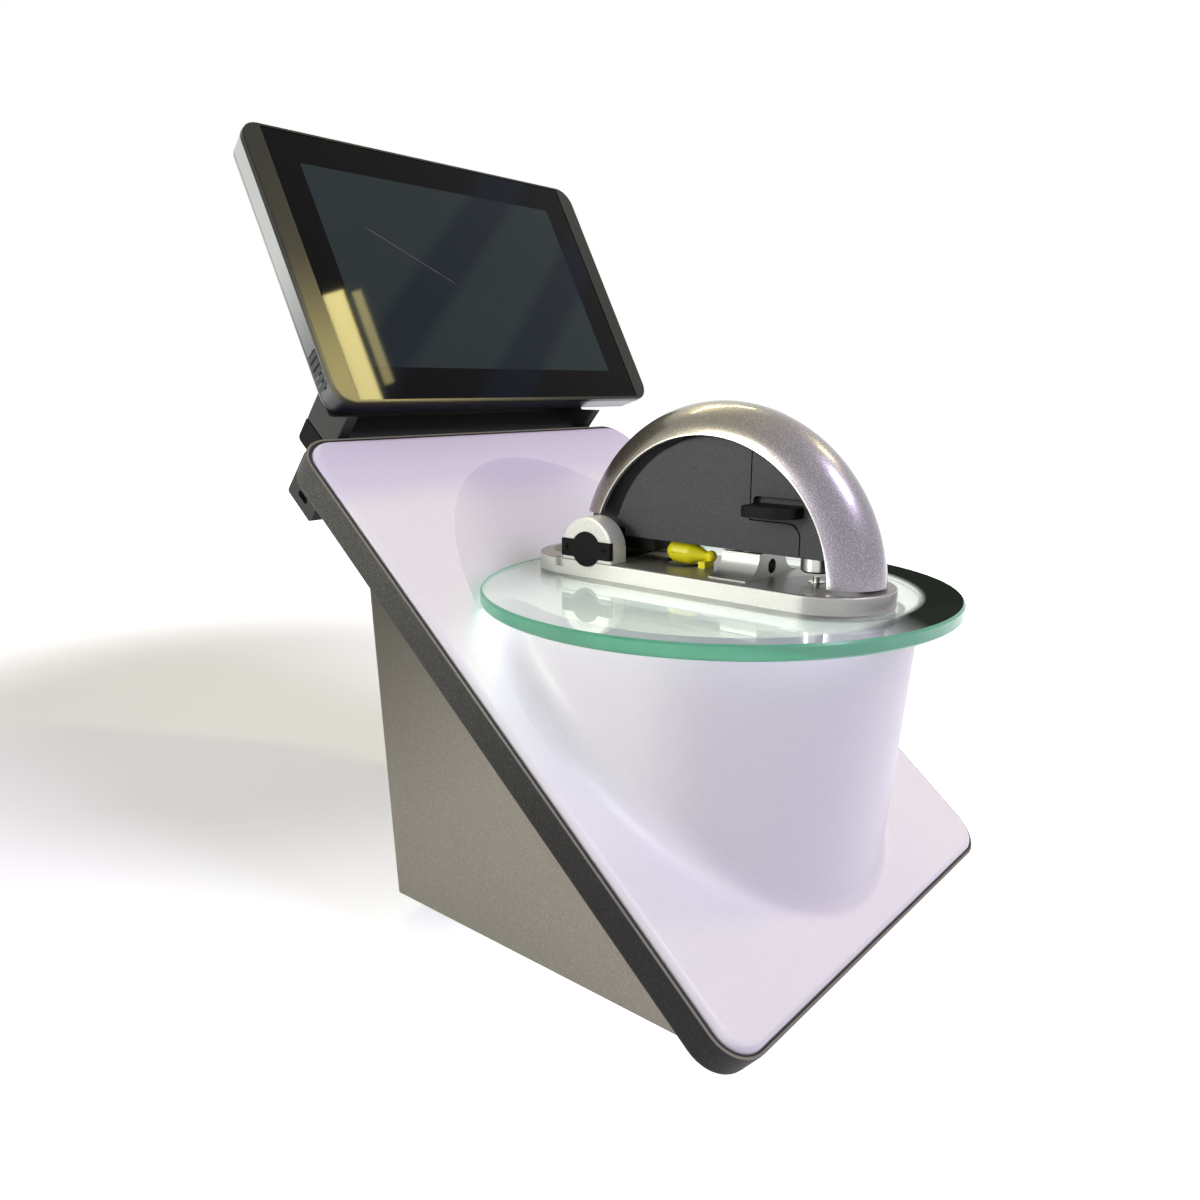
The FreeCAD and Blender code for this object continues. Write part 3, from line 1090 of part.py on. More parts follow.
def make_flash_lamp():
    """Lamp housing under the shelf, with its round window."""
    half = OPTICS_HALF_X - LAMP_MARGIN
    top = OPTICS_Z - PLATE
    front = OPTICS_FRONT_Y + LAMP_FRONT_MARGIN
    housing = block(-half, half, front, OPTICS_REAR_Y - LAMP_REAR_MARGIN, top - LAMP_HEIGHT, top)
    return housing.fuse(cylinder_y(LAMP_LENS_RADIUS, 0, top - LAMP_HEIGHT / 2, front - LAMP_LENS_LENGTH, front))


def make_hinge_bracket():
    """Fixed half of the display hinge, on the tray's back at its upper end."""
    half = MOUNT_HALF_WIDTH
    solid = block(-half, half, BRACKET_LOW_T, BRACKET_HIGH_T, -BRACKET_DEEP_N, -BRACKET_TOP_N)
    corners = edges_at(solid, lambda e: e.Length > half
                       and (e.BoundBox.ZMax < -TILT_N or e.BoundBox.YMin > TILT_T))
    solid = solid.makeFillet(BRACKET_EDGE, corners)
    solid = solid.fuse(block(-half, half, BRACKET_LOW_T, PANEL_TOP_T - FRAME_EDGE, -BRACKET_TOP_N,
                             -FRAME_DEPTH))
    middle = (BRACKET_LOW_T + BRACKET_HIGH_T) / 2
    slot_n = BRACKET_SLOT_MARGIN + BRACKET_SLOT_WIDTH / 2 - BRACKET_DEEP_N
    reach = (BRACKET_SLOT_LENGTH - BRACKET_SLOT_WIDTH) / 2
    for side in (-1, 1):
        x0, x1 = sorted((side * (KNUCKLE_X - KNUCKLE_WIDTH / 2 - KNUCKLE_GAP),
                         side * (KNUCKLE_X + KNUCKLE_WIDTH / 2 + KNUCKLE_GAP)))
        room = cylinder_x(KNUCKLE_RADIUS + KNUCKLE_GAP, x0, x1, TILT_T, -TILT_N)
        room = room.fuse(block(x0, x1, TILT_T, TILT_T + FAR, -TILT_N - KNUCKLE_RADIUS - KNUCKLE_GAP, 0))
        room = room.fuse(block(x0, x1, TILT_T - KNUCKLE_RADIUS - KNUCKLE_GAP, TILT_T + FAR, -TILT_N, 0))
        solid = solid.cut(room)
        x0, x1 = sorted((side * (half + 1), side * (half - BRACKET_SLOT_DEPTH)))
        slot = block(x0, x1, middle - reach, middle + reach, slot_n - BRACKET_SLOT_WIDTH / 2,
                     slot_n + BRACKET_SLOT_WIDTH / 2)
        for end in (-reach, reach):
            slot = slot.fuse(cylinder_x(BRACKET_SLOT_WIDTH / 2, x0, x1, middle + end, slot_n))
        solid = solid.cut(slot)
    bore = cylinder_x(TILT_RADIUS + SHAFT_PLAY, -FAR, FAR, TILT_T, -TILT_N)
    return in_panel(solid.cut(bore))


def make_tilt_axle():
    return in_panel(cylinder_x(TILT_RADIUS, 1 - MOUNT_HALF_WIDTH, MOUNT_HALF_WIDTH - 1, TILT_T, -TILT_N))


def make_tilt_carrier():
    """Moving half of the display hinge: a bar above the slope's end with two knuckles."""
    low_t = PANEL_TOP_T + MOUNT_GAP
    high_t = low_t + MOUNT_DEPTH
    half = MOUNT_HALF_WIDTH
    bar = block(-half, half, low_t, high_t, -CARRIER_LOW_N, -SEAM_N - SEAM_LINE)
    low_edges = edges_at(bar, lambda e: abs(e.BoundBox.ZMax + CARRIER_LOW_N) < 1e-4 and e.Length > half)
    bar = bar.makeFillet(CARRIER_EDGE, low_edges)
    for side in (-1, 1):
        x0, x1 = sorted((side * (KNUCKLE_X - KNUCKLE_WIDTH / 2), side * (KNUCKLE_X + KNUCKLE_WIDTH / 2)))
        bar = bar.fuse(cylinder_x(KNUCKLE_RADIUS, x0, x1, TILT_T, -TILT_N))
        bar = bar.fuse(block(x0, x1, TILT_T - KNUCKLE_RADIUS + 1, TILT_T + KNUCKLE_RADIUS,
                             -TILT_N, -CARRIER_LOW_N + 1))
    room = cylinder_x(TILT_RADIUS + SHAFT_PLAY, -FAR, FAR, TILT_T, -TILT_N)
    return in_panel(bar.cut(room))


def slope_point(v, w):
    """A point given in the display's directions, as distances up the slope and out of it."""
    point = panel_place.inverse().multVec(display_place.multVec(Vector(0, v, w)))
    return point.y, point.z


def out_at(first, second, t):
    """How far out of the slope the line through two points lies at a distance up the slope."""
    return first[1] + (t - first[0]) * (second[1] - first[1]) / (second[0] - first[0])


def make_display_arm():
    """Textured yoke under the display: two cheeks, floor, rear wall, and a plate for the rail."""
    low_t = PANEL_TOP_T + MOUNT_GAP
    high_t = low_t + MOUNT_DEPTH
    wall_t = high_t - YOKE_BACK
    half = MOUNT_HALF_WIDTH
    behind = -DISPLAY_THICKNESS - DISPLAY_UNDER_GAP
    corner = slope_point(DISPLAY_LOW_V - DISPLAY_UNDER_GAP, behind)
    front = slope_point(DISPLAY_LOW_V - DISPLAY_UNDER_GAP, 0)
    top = slope_point(YOKE_TOP_V, behind)
    outline = [(low_t, -SEAM_N), (high_t, -SEAM_N), (high_t, out_at(corner, top, high_t)), corner,
               (low_t, out_at(corner, front, low_t))]
    solid = profile_x(outline, -half, half)
    solid = solid.cut(block(YOKE_CHEEK - half, half - YOKE_CHEEK, low_t - 1, wall_t, YOKE_BACK - SEAM_N, FAR))
    face = -DISPLAY_THICKNESS - RAIL_THICKNESS - RUNNER_WALL - 2 * RAIL_PLAY
    near = [slope_point(v, face) for v in (DISPLAY_LOW_V, YOKE_TOP_V)]
    far = [slope_point(v, face - YOKE_BACK) for v in (DISPLAY_LOW_V, YOKE_TOP_V)]
    plate = [(wall_t, out_at(near[0], near[1], wall_t)), near[1], far[1],
             (wall_t, out_at(far[0], far[1], wall_t))]
    return in_panel(solid.fuse(profile_x(plate, -YOKE_PLATE_HALF, YOKE_PLATE_HALF)))


def make_display_rail():
    """Flat rail on the yoke's back plate that the display slides on."""
    z0 = -DISPLAY_THICKNESS - RAIL_THICKNESS - RUNNER_WALL - 2 * RAIL_PLAY
    centre = -DISPLAY_SHIFT
    rail = block(centre - RAIL_HALF_LENGTH, centre + RAIL_HALF_LENGTH, RAIL_V - RAIL_HEIGHT / 2,
                 RAIL_V + RAIL_HEIGHT / 2, z0, z0 + RAIL_THICKNESS)
    return in_display(rail)


def make_runner(centre):
    """Shoe on the display's back that grips the rail's edges."""
    back = -DISPLAY_THICKNESS
    deep = back - RUNNER_WALL - RAIL_THICKNESS - RAIL_PLAY
    outer = block(centre - RUNNER_LENGTH / 2, centre + RUNNER_LENGTH / 2,
                  RAIL_V - RAIL_HEIGHT / 2 - RUNNER_WALL, RAIL_V + RAIL_HEIGHT / 2 + RUNNER_WALL,
                  deep, back)
    room = block(centre - FAR, centre + FAR, RAIL_V - RAIL_HEIGHT / 2 - RAIL_PLAY,
                 RAIL_V + RAIL_HEIGHT / 2 + RAIL_PLAY, deep - 1, back - RUNNER_WALL)
    return in_display(outer.cut(room))


def make_display_shell():
    """Back housing of the display: drawn in towards the back, parted near it, ribbed for a grip."""
    half = DISPLAY_WIDTH / 2
    front = rounded_face(half, DISPLAY_LOW_V, DISPLAY_HIGH_V, DISPLAY_CORNER, -BEZEL_DEPTH)
    back = rounded_face(DISPLAY_BACK_HALF, DISPLAY_LOW_V + DISPLAY_TAPER, DISPLAY_HIGH_V - DISPLAY_TAPER,
                        DISPLAY_CORNER - DISPLAY_TAPER, -DISPLAY_THICKNESS)
    outer = Part.makeLoft([back.OuterWire, front.OuterWire], True, True)
    outer = outer.makeFillet(DISPLAY_EDGE, flat_edges_z(outer, -DISPLAY_THICKNESS))
    wall = DISPLAY_WALL + DISPLAY_TAPER
    inner = rounded_slab(half - wall, DISPLAY_LOW_V + wall, DISPLAY_HIGH_V - wall, DISPLAY_CORNER - wall,
                         DISPLAY_WALL - DISPLAY_THICKNESS, 0)
    shell = outer.cut(inner).cut(display_screw_set())
    depth = (PARTING_DEPTH - BEZEL_DEPTH) * math.tan(math.radians(DISPLAY_DRAFT)) + PARTING_GROOVE
    ring = block(-FAR, FAR, -FAR, FAR, -PARTING_DEPTH - PARTING_GROOVE, -PARTING_DEPTH)
    shell = shell.cut(ring.cut(rounded_slab(half - depth, DISPLAY_LOW_V + depth, DISPLAY_HIGH_V - depth,
                                            DISPLAY_CORNER - depth, -FAR, FAR)))
    for index in range(GRIP_COUNT):
        v = DISPLAY_LOW_V + DISPLAY_CORNER + index * GRIP_PITCH
        for side in (-1, 1):
            x0, x1 = sorted((side * (half - GRIP_DEPTH), side * (half + 1)))
            shell = shell.cut(block(x0, x1, v, v + GRIP_GROOVE, -PARTING_DEPTH, -BEZEL_DEPTH - GRIP_MARGIN))
    return in_display(shell)


def make_display_bezel():
    """Front frame of the display with a ledge for its glass."""
    half = DISPLAY_WIDTH / 2
    outer = rounded_slab(half, DISPLAY_LOW_V, DISPLAY_HIGH_V, DISPLAY_CORNER, -BEZEL_DEPTH, 0)
    outer = outer.makeFillet(BEZEL_LIP / 2, flat_edges_z(outer, 0))
    play = SHAFT_PLAY
    recess = block(-GLASS_HALF_WIDTH - play, GLASS_HALF_WIDTH + play, -GLASS_HALF_HEIGHT - play,
                   GLASS_HALF_HEIGHT + play, -COVER_GLASS - GLASS_SET, 1)
    hole = block(BEZEL_LIP - GLASS_HALF_WIDTH, GLASS_HALF_WIDTH - BEZEL_LIP, BEZEL_LIP - GLASS_HALF_HEIGHT,
                 GLASS_HALF_HEIGHT - BEZEL_LIP, -FAR, FAR)
    return in_display(outer.cut(recess).cut(hole))


def make_display_glass():
    return in_display(block(-GLASS_HALF_WIDTH, GLASS_HALF_WIDTH, -GLASS_HALF_HEIGHT, GLASS_HALF_HEIGHT,
                            -COVER_GLASS - GLASS_SET, -GLASS_SET))


def make_screen():
    """The picture panel behind the glass."""
    top = -COVER_GLASS - GLASS_SET
    half = SCREEN_WIDTH / 2
    rise = SCREEN_HEIGHT / 2
    return in_display(block(SCREEN_SHIFT - half, SCREEN_SHIFT + half, -rise, rise, top - SCREEN_THICKNESS, top))


def make_display_board():
    """Circuit board on short posts behind the picture panel."""
    top = -COVER_GLASS - GLASS_SET - SCREEN_THICKNESS
    floor = -DISPLAY_THICKNESS + DISPLAY_WALL
    board = block(-DISPLAY_BOARD_HALF_X, DISPLAY_BOARD_HALF_X, -DISPLAY_BOARD_HALF_V, DISPLAY_BOARD_HALF_V,
                  top - DISPLAY_BOARD_GAP - BOARD_THICKNESS, top - DISPLAY_BOARD_GAP)
    x = DISPLAY_BOARD_HALF_X - DISPLAY_POST_INSET
    v = DISPLAY_BOARD_HALF_V - DISPLAY_POST_INSET
    for post_x, post_v in ((-x, -v), (-x, v), (x, -v), (x, v)):
        board = board.fuse(cylinder_z(DISPLAY_POST_RADIUS, post_x, post_v, floor, top))
    return in_display(board)


def display_screw_set():
    """Countersunk heads near the corners of the display's back."""
    low = DISPLAY_SCREW_SINK - DISPLAY_THICKNESS
    x = DISPLAY_BACK_HALF - DISPLAY_SCREW_INSET
    v = DISPLAY_HIGH_V - DISPLAY_TAPER - DISPLAY_SCREW_INSET
    heads = [Part.makeCone(DISPLAY_SCREW_RADIUS, DISPLAY_SCREW_TIP, DISPLAY_SCREW_HEIGHT,
                           Vector(screw_x, screw_v, low)) for screw_x in (-x, x) for screw_v in (-v, v)]
    return Part.makeCompound(heads)


def main():
    os.makedirs("parts", exist_ok=True)
    nodes = {
        "front_cover": make_front_cover(),
        "frame_tray": make_frame_tray(),
        "cover_gasket": make_gasket(),
        "glass_table": make_glass(),
        "glass_pad": make_glass_pad(),
        "deck": make_deck(),
        "deck_screws": make_deck_screws(),
        "hinge_cap_left": make_hinge_cap(-1),
        "hinge_cap_right": make_hinge_cap(1),
        "hinge_cap_screws": make_cap_screws(),
        "hinge_shaft": make_hinge_shaft(),
        "friction_washer_left": make_friction_washer(-1),
        "friction_washer_right": make_friction_washer(1),
        "arm_barrel": make_hinge_barrel(),
        "arm_shell": make_arm_shell(),
        "arm_core": make_arm_web(),
        "arm_nose": make_arm_nose(),
        "lift_tab": make_lift_tab(),
        "upper_pedestal": make_upper_pedestal(),
        "pedestal_disc": make_pedestal_disc(),
        "lower_pedestal": make_lower_pedestal(),
        "cuvette_holder": make_cuvette_holder(),
        "cuvette_spring": make_cuvette_spring(),
        "fibre_boot": make_fibre_boot(),
        "boot_grommet": make_grommet(),
        "stand": make_stand(),
        "base_plate": make_base_plate(),
        "main_board": make_main_board(),
        "port_panel": make_port_panel(),
        "port_board": make_port_board(),
        "network_socket": make_network_socket(),
        "power_inlet": make_power_inlet(),
        "power_button": make_power_button(),
        "power_switch": make_power_switch(),
        "optics_bracket": make_optics_bracket(),
        "spectrometer": make_spectrometer(),
        "flash_lamp": make_flash_lamp(),
        "hinge_bracket": make_hinge_bracket(),
        "tilt_axle": make_tilt_axle(),
        "tilt_carrier": make_tilt_carrier(),
        "display_arm": make_display_arm(),
        "display_rail": make_display_rail(),
        "display_shell": make_display_shell(),
        "display_bezel": make_display_bezel(),
        "display_glass": make_display_glass(),
        "display_screen": make_screen(),
        "display_board": make_display_board(),
        "display_screws": in_display(display_screw_set()),
    }
    for index, x in enumerate(USB_X):
        nodes["usb_socket_%d" % (index + 1)] = make_usb_socket(x)
    for index, centre in enumerate((-RUNNER_X, RUNNER_X)):
        nodes["display_runner_%d" % (index + 1)] = make_runner(centre)
    corners = [(-FOOT_X, FOOT_FRONT_Y), (FOOT_X, FOOT_FRONT_Y), (-FOOT_X, FOOT_REAR_Y), (FOOT_X, FOOT_REAR_Y)]
    for index, (x, y) in enumerate(corners):
        nodes["foot_%d" % (index + 1)] = make_foot(x, y)
    box = FreeCAD.BoundBox()
    for shape in nodes.values():
        box.add(shape.BoundBox)
    for name, shape in nodes.items():
        solids = shape.Solids
        state = "ok" if shape.isValid() and len(solids) > 0 else "BAD"
        print("%-22s solids %d  faces %3d  volume %9.1f  %s" % (name, len(solids), len(shape.Faces), shape.Volume, state))
        shape.translate(Vector(-ORIGIN_X, -ORIGIN_Y, 0))
        shape.exportStep("parts/%s.step" % name)
    print("box", box.XMin, box.XMax, box.YMin, box.YMax, box.ZMin, box.ZMax)


main()
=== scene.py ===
import math

import bmesh
import bpy
from mathutils import Matrix, Vector


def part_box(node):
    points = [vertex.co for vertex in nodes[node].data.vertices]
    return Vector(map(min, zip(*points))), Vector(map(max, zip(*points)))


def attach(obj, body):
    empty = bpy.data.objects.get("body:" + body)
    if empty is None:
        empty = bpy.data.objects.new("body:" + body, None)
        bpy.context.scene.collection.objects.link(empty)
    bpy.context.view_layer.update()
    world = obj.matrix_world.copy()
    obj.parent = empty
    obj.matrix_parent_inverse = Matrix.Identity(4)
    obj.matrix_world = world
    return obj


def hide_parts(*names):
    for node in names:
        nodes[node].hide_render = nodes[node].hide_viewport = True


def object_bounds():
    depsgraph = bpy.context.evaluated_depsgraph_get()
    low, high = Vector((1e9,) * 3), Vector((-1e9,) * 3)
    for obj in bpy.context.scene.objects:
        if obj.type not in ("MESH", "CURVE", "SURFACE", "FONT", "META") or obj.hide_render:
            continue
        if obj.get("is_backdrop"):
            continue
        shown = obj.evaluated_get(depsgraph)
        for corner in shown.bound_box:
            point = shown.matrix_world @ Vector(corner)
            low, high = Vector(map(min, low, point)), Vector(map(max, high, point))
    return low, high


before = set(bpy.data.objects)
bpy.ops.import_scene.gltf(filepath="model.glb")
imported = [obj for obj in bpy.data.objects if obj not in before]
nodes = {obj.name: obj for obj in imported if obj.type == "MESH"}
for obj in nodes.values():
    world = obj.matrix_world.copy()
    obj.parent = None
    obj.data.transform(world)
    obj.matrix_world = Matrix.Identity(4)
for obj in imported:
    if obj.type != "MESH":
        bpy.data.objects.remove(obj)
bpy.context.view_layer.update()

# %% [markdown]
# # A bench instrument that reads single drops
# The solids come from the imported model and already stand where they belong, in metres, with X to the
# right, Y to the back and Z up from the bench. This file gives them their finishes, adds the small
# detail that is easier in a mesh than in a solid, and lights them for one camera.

MM = 0.001
SLOPE = math.radians(40.0)

# %% [markdown]
# ## Building blocks for the finishes
# Every finish is a node tree. A colour is written as the hex value that a paint card would give, and
# one function turns it to the linear light that the renderer works in. Another adds any node with its
# settings and its links, so a tree reads from top to bottom.


# %% Colour and node helpers
def linear(code):
    """A hex colour such as #E6E3EA as linear red, green, blue and alpha."""
    parts = [int(code[i:i + 2], 16) / 255 for i in (1, 3, 5)]
    return [p / 12.92 if p <= 0.04045 else ((p + 0.055) / 1.055) ** 2.4 for p in parts] + [1.0]


def add(tree, kind, settings=None, links=None):
    """Adds a node, sets its properties or sockets, and links other nodes' outputs to its sockets."""
    node = tree.nodes.new(kind)
    for name, value in (settings or {}).items():
        if isinstance(name, str) and hasattr(node, name):
            setattr(node, name, value)
        else:
            node.inputs[name].default_value = value
    for name, source in (links or {}).items():
        tree.links.new(source, node.inputs[name])
    return node


print("white lacquer in linear light", [round(v, 3) for v in linear("#E6E3EA")])

# %% [markdown]
# Most surfaces are one colour to a quick glance, but none is the same all over. Two noises do the
# work: a fine one for the grain that a mould or a spray gun leaves, and a broad one for handling and
# dust. The sizes are real sizes in millimetres, turned into a texture scale.


# %% A finish with grain
def finish(name, colour, other, grain_mm, bump_mm=0.0, spread=0.5, gloss=(0.4, 0.5), **sockets):
    """A material whose colour wanders from colour to other, with grain of a real size."""
    material = bpy.data.materials.new(name)
    material.use_nodes = True
    tree = material.node_tree
    shader = tree.nodes["Principled BSDF"]
    for socket, value in sockets.items():
        shader.inputs[socket.replace("_", " ")].default_value = value
    place = add(tree, "ShaderNodeTexCoord").outputs["Object"]
    fine = add(tree, "ShaderNodeTexNoise", {"Scale": 1000 / grain_mm, "Detail": 2.0}, {"Vector": place})
    broad = add(tree, "ShaderNodeTexNoise", {"Scale": 14.0, "Detail": 3.0}, {"Vector": place})
    both = add(tree, "ShaderNodeMix", {"Factor": 0.5},
               {2: fine.outputs["Fac"], 3: broad.outputs["Fac"]})
    stretch = add(tree, "ShaderNodeMapRange", {"From Min": 0.5 - spread / 2, "From Max": 0.5 + spread / 2},
                  {"Value": both.outputs[0]})
    paint = add(tree, "ShaderNodeMix", {"data_type": "RGBA", 6: linear(colour), 7: linear(other)},
                {0: stretch.outputs[0]})
    tree.links.new(paint.outputs[2], shader.inputs["Base Color"])
    rough = add(tree, "ShaderNodeMapRange", {"To Min": gloss[0], "To Max": gloss[1]},
                {"Value": broad.outputs["Fac"]})
    tree.links.new(rough.outputs[0], shader.inputs["Roughness"])
    if bump_mm:
        bump = add(tree, "ShaderNodeBump", {"Strength": 0.6, "Distance": bump_mm * MM},
                   {"Height": fine.outputs["Fac"]})
        tree.links.new(bump.outputs["Normal"], shader.inputs["Normal"])
    return material


def dress(material, *names):
    """Puts a material on CAD nodes."""
    for name in names:
        mesh = nodes[name].data
        mesh.materials.clear()
        mesh.materials.append(material)
    print(material.name, "on", len(names), "nodes")


def inside(tree, value, half, soft):
    """1 where value lies between -half and half, 0 outside, with a short soft step."""
    size = add(tree, "ShaderNodeMath", {"operation": "ABSOLUTE"}, {0: value})
    step = add(tree, "ShaderNodeMapRange", {"From Min": half + soft, "From Max": half},
               {"Value": size.outputs[0]})
    return step.outputs[0]


def grade(material, direction, start, end, tint, facing=False):
    """Tints a material step by step and keeps its grain.

    The tint grows between two places in mm along a direction or, with facing, as the surface turns to it.
    """
    tree = material.node_tree
    shader = tree.nodes["Principled BSDF"]
    if facing:
        source, unit = add(tree, "ShaderNodeNewGeometry").outputs["Normal"], 1.0
    else:
        source, unit = add(tree, "ShaderNodeTexCoord").outputs["Object"], MM
    along = add(tree, "ShaderNodeVectorMath", {"operation": "DOT_PRODUCT", 1: direction}, {0: source})
    share = add(tree, "ShaderNodeMapRange", {"interpolation_type": "SMOOTHSTEP", "From Min": start * unit,
                                            "From Max": end * unit}, {"Value": along.outputs["Value"]})
    base = shader.inputs["Base Color"].links[0].from_socket
    mixed = add(tree, "ShaderNodeMix", {"data_type": "RGBA", "blend_type": "MULTIPLY", 7: linear(tint)},
                {0: share.outputs[0], 6: base})
    tree.links.new(mixed.outputs[2], shader.inputs["Base Color"])
    return material


# %% [markdown]
# ## Rows of equal parts
# Grip bars and socket contacts repeat at a fixed pitch. A small node tree puts one block on every
# point of a line. Its result is kept as a plain mesh, with its edges rounded, and rides on its body.

# %% The row tree and its use
ROW_INPUTS = {"Count": "NodeSocketInt", "Start": "NodeSocketVector", "Step": "NodeSocketVector",
              "Size": "NodeSocketVector", "Material": "NodeSocketMaterial"}


def row_tree():
    tree = bpy.data.node_groups.new("row_of_blocks", "GeometryNodeTree")
    for name, kind in ROW_INPUTS.items():
        tree.interface.new_socket(name, in_out="INPUT", socket_type=kind)
    tree.interface.new_socket("Geometry", in_out="OUTPUT", socket_type="NodeSocketGeometry")
    given = add(tree, "NodeGroupInput").outputs
    line = add(tree, "GeometryNodeMeshLine", {"mode": "OFFSET"},
               {"Count": given["Count"], "Start Location": given["Start"], "Offset": given["Step"]})
    block = add(tree, "GeometryNodeMeshCube", {}, {"Size": given["Size"]})
    placed = add(tree, "GeometryNodeInstanceOnPoints", {},
                 {"Points": line.outputs["Mesh"], "Instance": block.outputs["Mesh"]})
    plain = add(tree, "GeometryNodeRealizeInstances", {}, {"Geometry": placed.outputs["Instances"]})
    painted = add(tree, "GeometryNodeSetMaterial", {},
                  {"Geometry": plain.outputs["Geometry"], "Material": given["Material"]})
    add(tree, "NodeGroupOutput", {}, {"Geometry": painted.outputs["Geometry"]})
    return tree


ROW = row_tree()


def row(name, body, material, count, start, step, size, edge, turn=Matrix()):
    """A row of equal rounded blocks in mm, set in place by a matrix, riding on a body."""
    piece = bpy.data.objects.new(name, bpy.data.meshes.new(name))
    bpy.context.scene.collection.objects.link(piece)
    recipe = piece.modifiers.new("row", "NODES")
    recipe.node_group = ROW
    values = {"Count": count, "Start": [v * MM for v in start], "Step": [v * MM for v in step],
              "Size": [v * MM for v in size], "Material": material}
    for item in ROW.interface.items_tree:
        if item.in_out == "INPUT":
            recipe[item.identifier] = values[item.name]
    made = bpy.data.meshes.new_from_object(piece.evaluated_get(bpy.context.evaluated_depsgraph_get()))
    piece.modifiers.clear()
    form = bmesh.new()
    form.from_mesh(made)
    bmesh.ops.bevel(form, geom=form.edges[:], offset=edge * MM, segments=3, affect="EDGES", profile=0.5,
                      material=-1)
    bmesh.ops.transform(form, matrix=turn, verts=form.verts)
    bmesh.ops.recalc_face_normals(form, faces=form.faces)
    form.to_mesh(made)
    form.free()
    piece.data = made
    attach(piece, body)
    print(name, count, "blocks,", len(made.polygons), "faces")
    return piece


# %% [markdown]
# ## The white front
# A large moulding in ABS, sprayed with a satin white lacquer. Lacquer levels out into a faint orange
# peel, which shows only as a slight waver in reflections, so the bump is low and wide. Under the
# display, and on walls that turn down to the dark room in front, its colour is tinted a deeper lilac:
# painted shade.

# %% White lacquer
UP_SLOPE = (0.0, math.cos(SLOPE), math.sin(SLOPE))
FRONT_DOWN = (-0.1, -0.8, -0.6)
white_lacquer = finish("satin_white_lacquer_on_ABS", "#E6E2E8", "#E0DCE3", 2.2, bump_mm=0.012,
                       gloss=(0.42, 0.5), Coat_Weight=0.1, Coat_Roughness=0.2)
cover_top = max(corner.co.dot(Vector(UP_SLOPE)) for corner in nodes["front_cover"].data.vertices) / MM
# Painted shade: the top band of the slope, just under the display, is tinted a deeper lilac.
grade(white_lacquer, UP_SLOPE, cover_top - 42, cover_top - 22, "#EAE6F8")
# Painted shade: walls that turn down toward the front, such as the pod's upright sides, are tinted deeper.
grade(white_lacquer, FRONT_DOWN, 0.3, 0.6, "#E9E8EE", facing=True)
dress(white_lacquer, "front_cover")

# %% [markdown]
# ## Dark metal round it
# The tray is sheet with a textured powder coat: fine dark grains with a few brighter metal flakes.
# The stand below is smoother and warmer. Both are pigment in a binder, so only partly metallic.


# %% Powder coat with flakes
def add_flakes(material, size_mm, colour, share, tilt=0.0):
    """Scatters bright metal flakes of a real size over a material's paint."""
    tree = material.node_tree
    shader = tree.nodes["Principled BSDF"]
    place = add(tree, "ShaderNodeTexCoord").outputs["Object"]
    cells = add(tree, "ShaderNodeTexVoronoi", {"Scale": 1000 / size_mm}, {"Vector": place})
    bright = add(tree, "ShaderNodeSeparateColor", {}, {0: cells.outputs["Color"]})
    lit = add(tree, "ShaderNodeMapRange", {"From Min": 1 - share, "From Max": 1.0},
              {"Value": bright.outputs[0]})
    base = shader.inputs["Base Color"].links[0].from_socket
    mixed = add(tree, "ShaderNodeMix", {"data_type": "RGBA", 7: linear(colour)},
                {0: lit.outputs[0], 6: base})
    tree.links.new(mixed.outputs[2], shader.inputs["Base Color"])
    if tilt:
        facing = add(tree, "ShaderNodeBump", {"Strength": tilt, "Distance": 0.02 * MM},
                     {"Height": bright.outputs[1]})
        tree.links.new(facing.outputs["Normal"], shader.inputs["Normal"])
    return material


def painted_rim_highlight(material, node, width_mm, colour):
    """Paints a highlight on the outermost strip of a sloping tray's rim, where its rounded edge catches the
    light.
    """
    tree = material.node_tree
    shader = tree.nodes["Principled BSDF"]
    out = (0.0, -math.sin(SLOPE), math.cos(SLOPE))
    top = max(corner.co.dot(Vector(out)) for corner in nodes[node].data.vertices)
    place = add(tree, "ShaderNodeTexCoord").outputs["Object"]
    level = add(tree, "ShaderNodeVectorMath", {"operation": "DOT_PRODUCT", 1: out}, {0: place})
    highlight_share = add(tree, "ShaderNodeMapRange", {"From Min": top - width_mm * MM, "From Max": top},
               {"Value": level.outputs["Value"]})
    base = shader.inputs["Base Color"].links[0].from_socket
    mixed = add(tree, "ShaderNodeMix", {"data_type": "RGBA", 7: linear(colour)},
                {0: highlight_share.outputs[0], 6: base})
    tree.links.new(mixed.outputs[2], shader.inputs["Base Color"])
    return material


tray_coat = finish("textured_dark_powder_coat", "#42423F", "#4C4C49", 0.5, bump_mm=0.06, gloss=(0.5, 0.6),
                   Metallic=0.1, Specular_IOR_Level=0.12)
add_flakes(tray_coat, 0.22, "#7A786E", 0.2)
tray_top = max(corner.co.z for corner in nodes["frame_tray"].data.vertices) / MM
# Painted shade: the tray darkens toward its bottom.
grade(tray_coat, (0.0, 0.0, -1.0), -tray_top + 20, -30, "#8A878C")
# Painted highlight: a bright line along the outer edge of the tray's rim.
painted_rim_highlight(tray_coat, "frame_tray", 0.2, "#7E7C73")
dress(tray_coat, "frame_tray")
stand_coat = finish("smooth_warm_grey_lacquer", "#7D786C", "#878276", 0.5, bump_mm=0.015,
                    gloss=(0.36, 0.44), Metallic=0.45, Specular_IOR_Level=0.3)
add_flakes(stand_coat, 0.2, "#A19D90", 0.2)
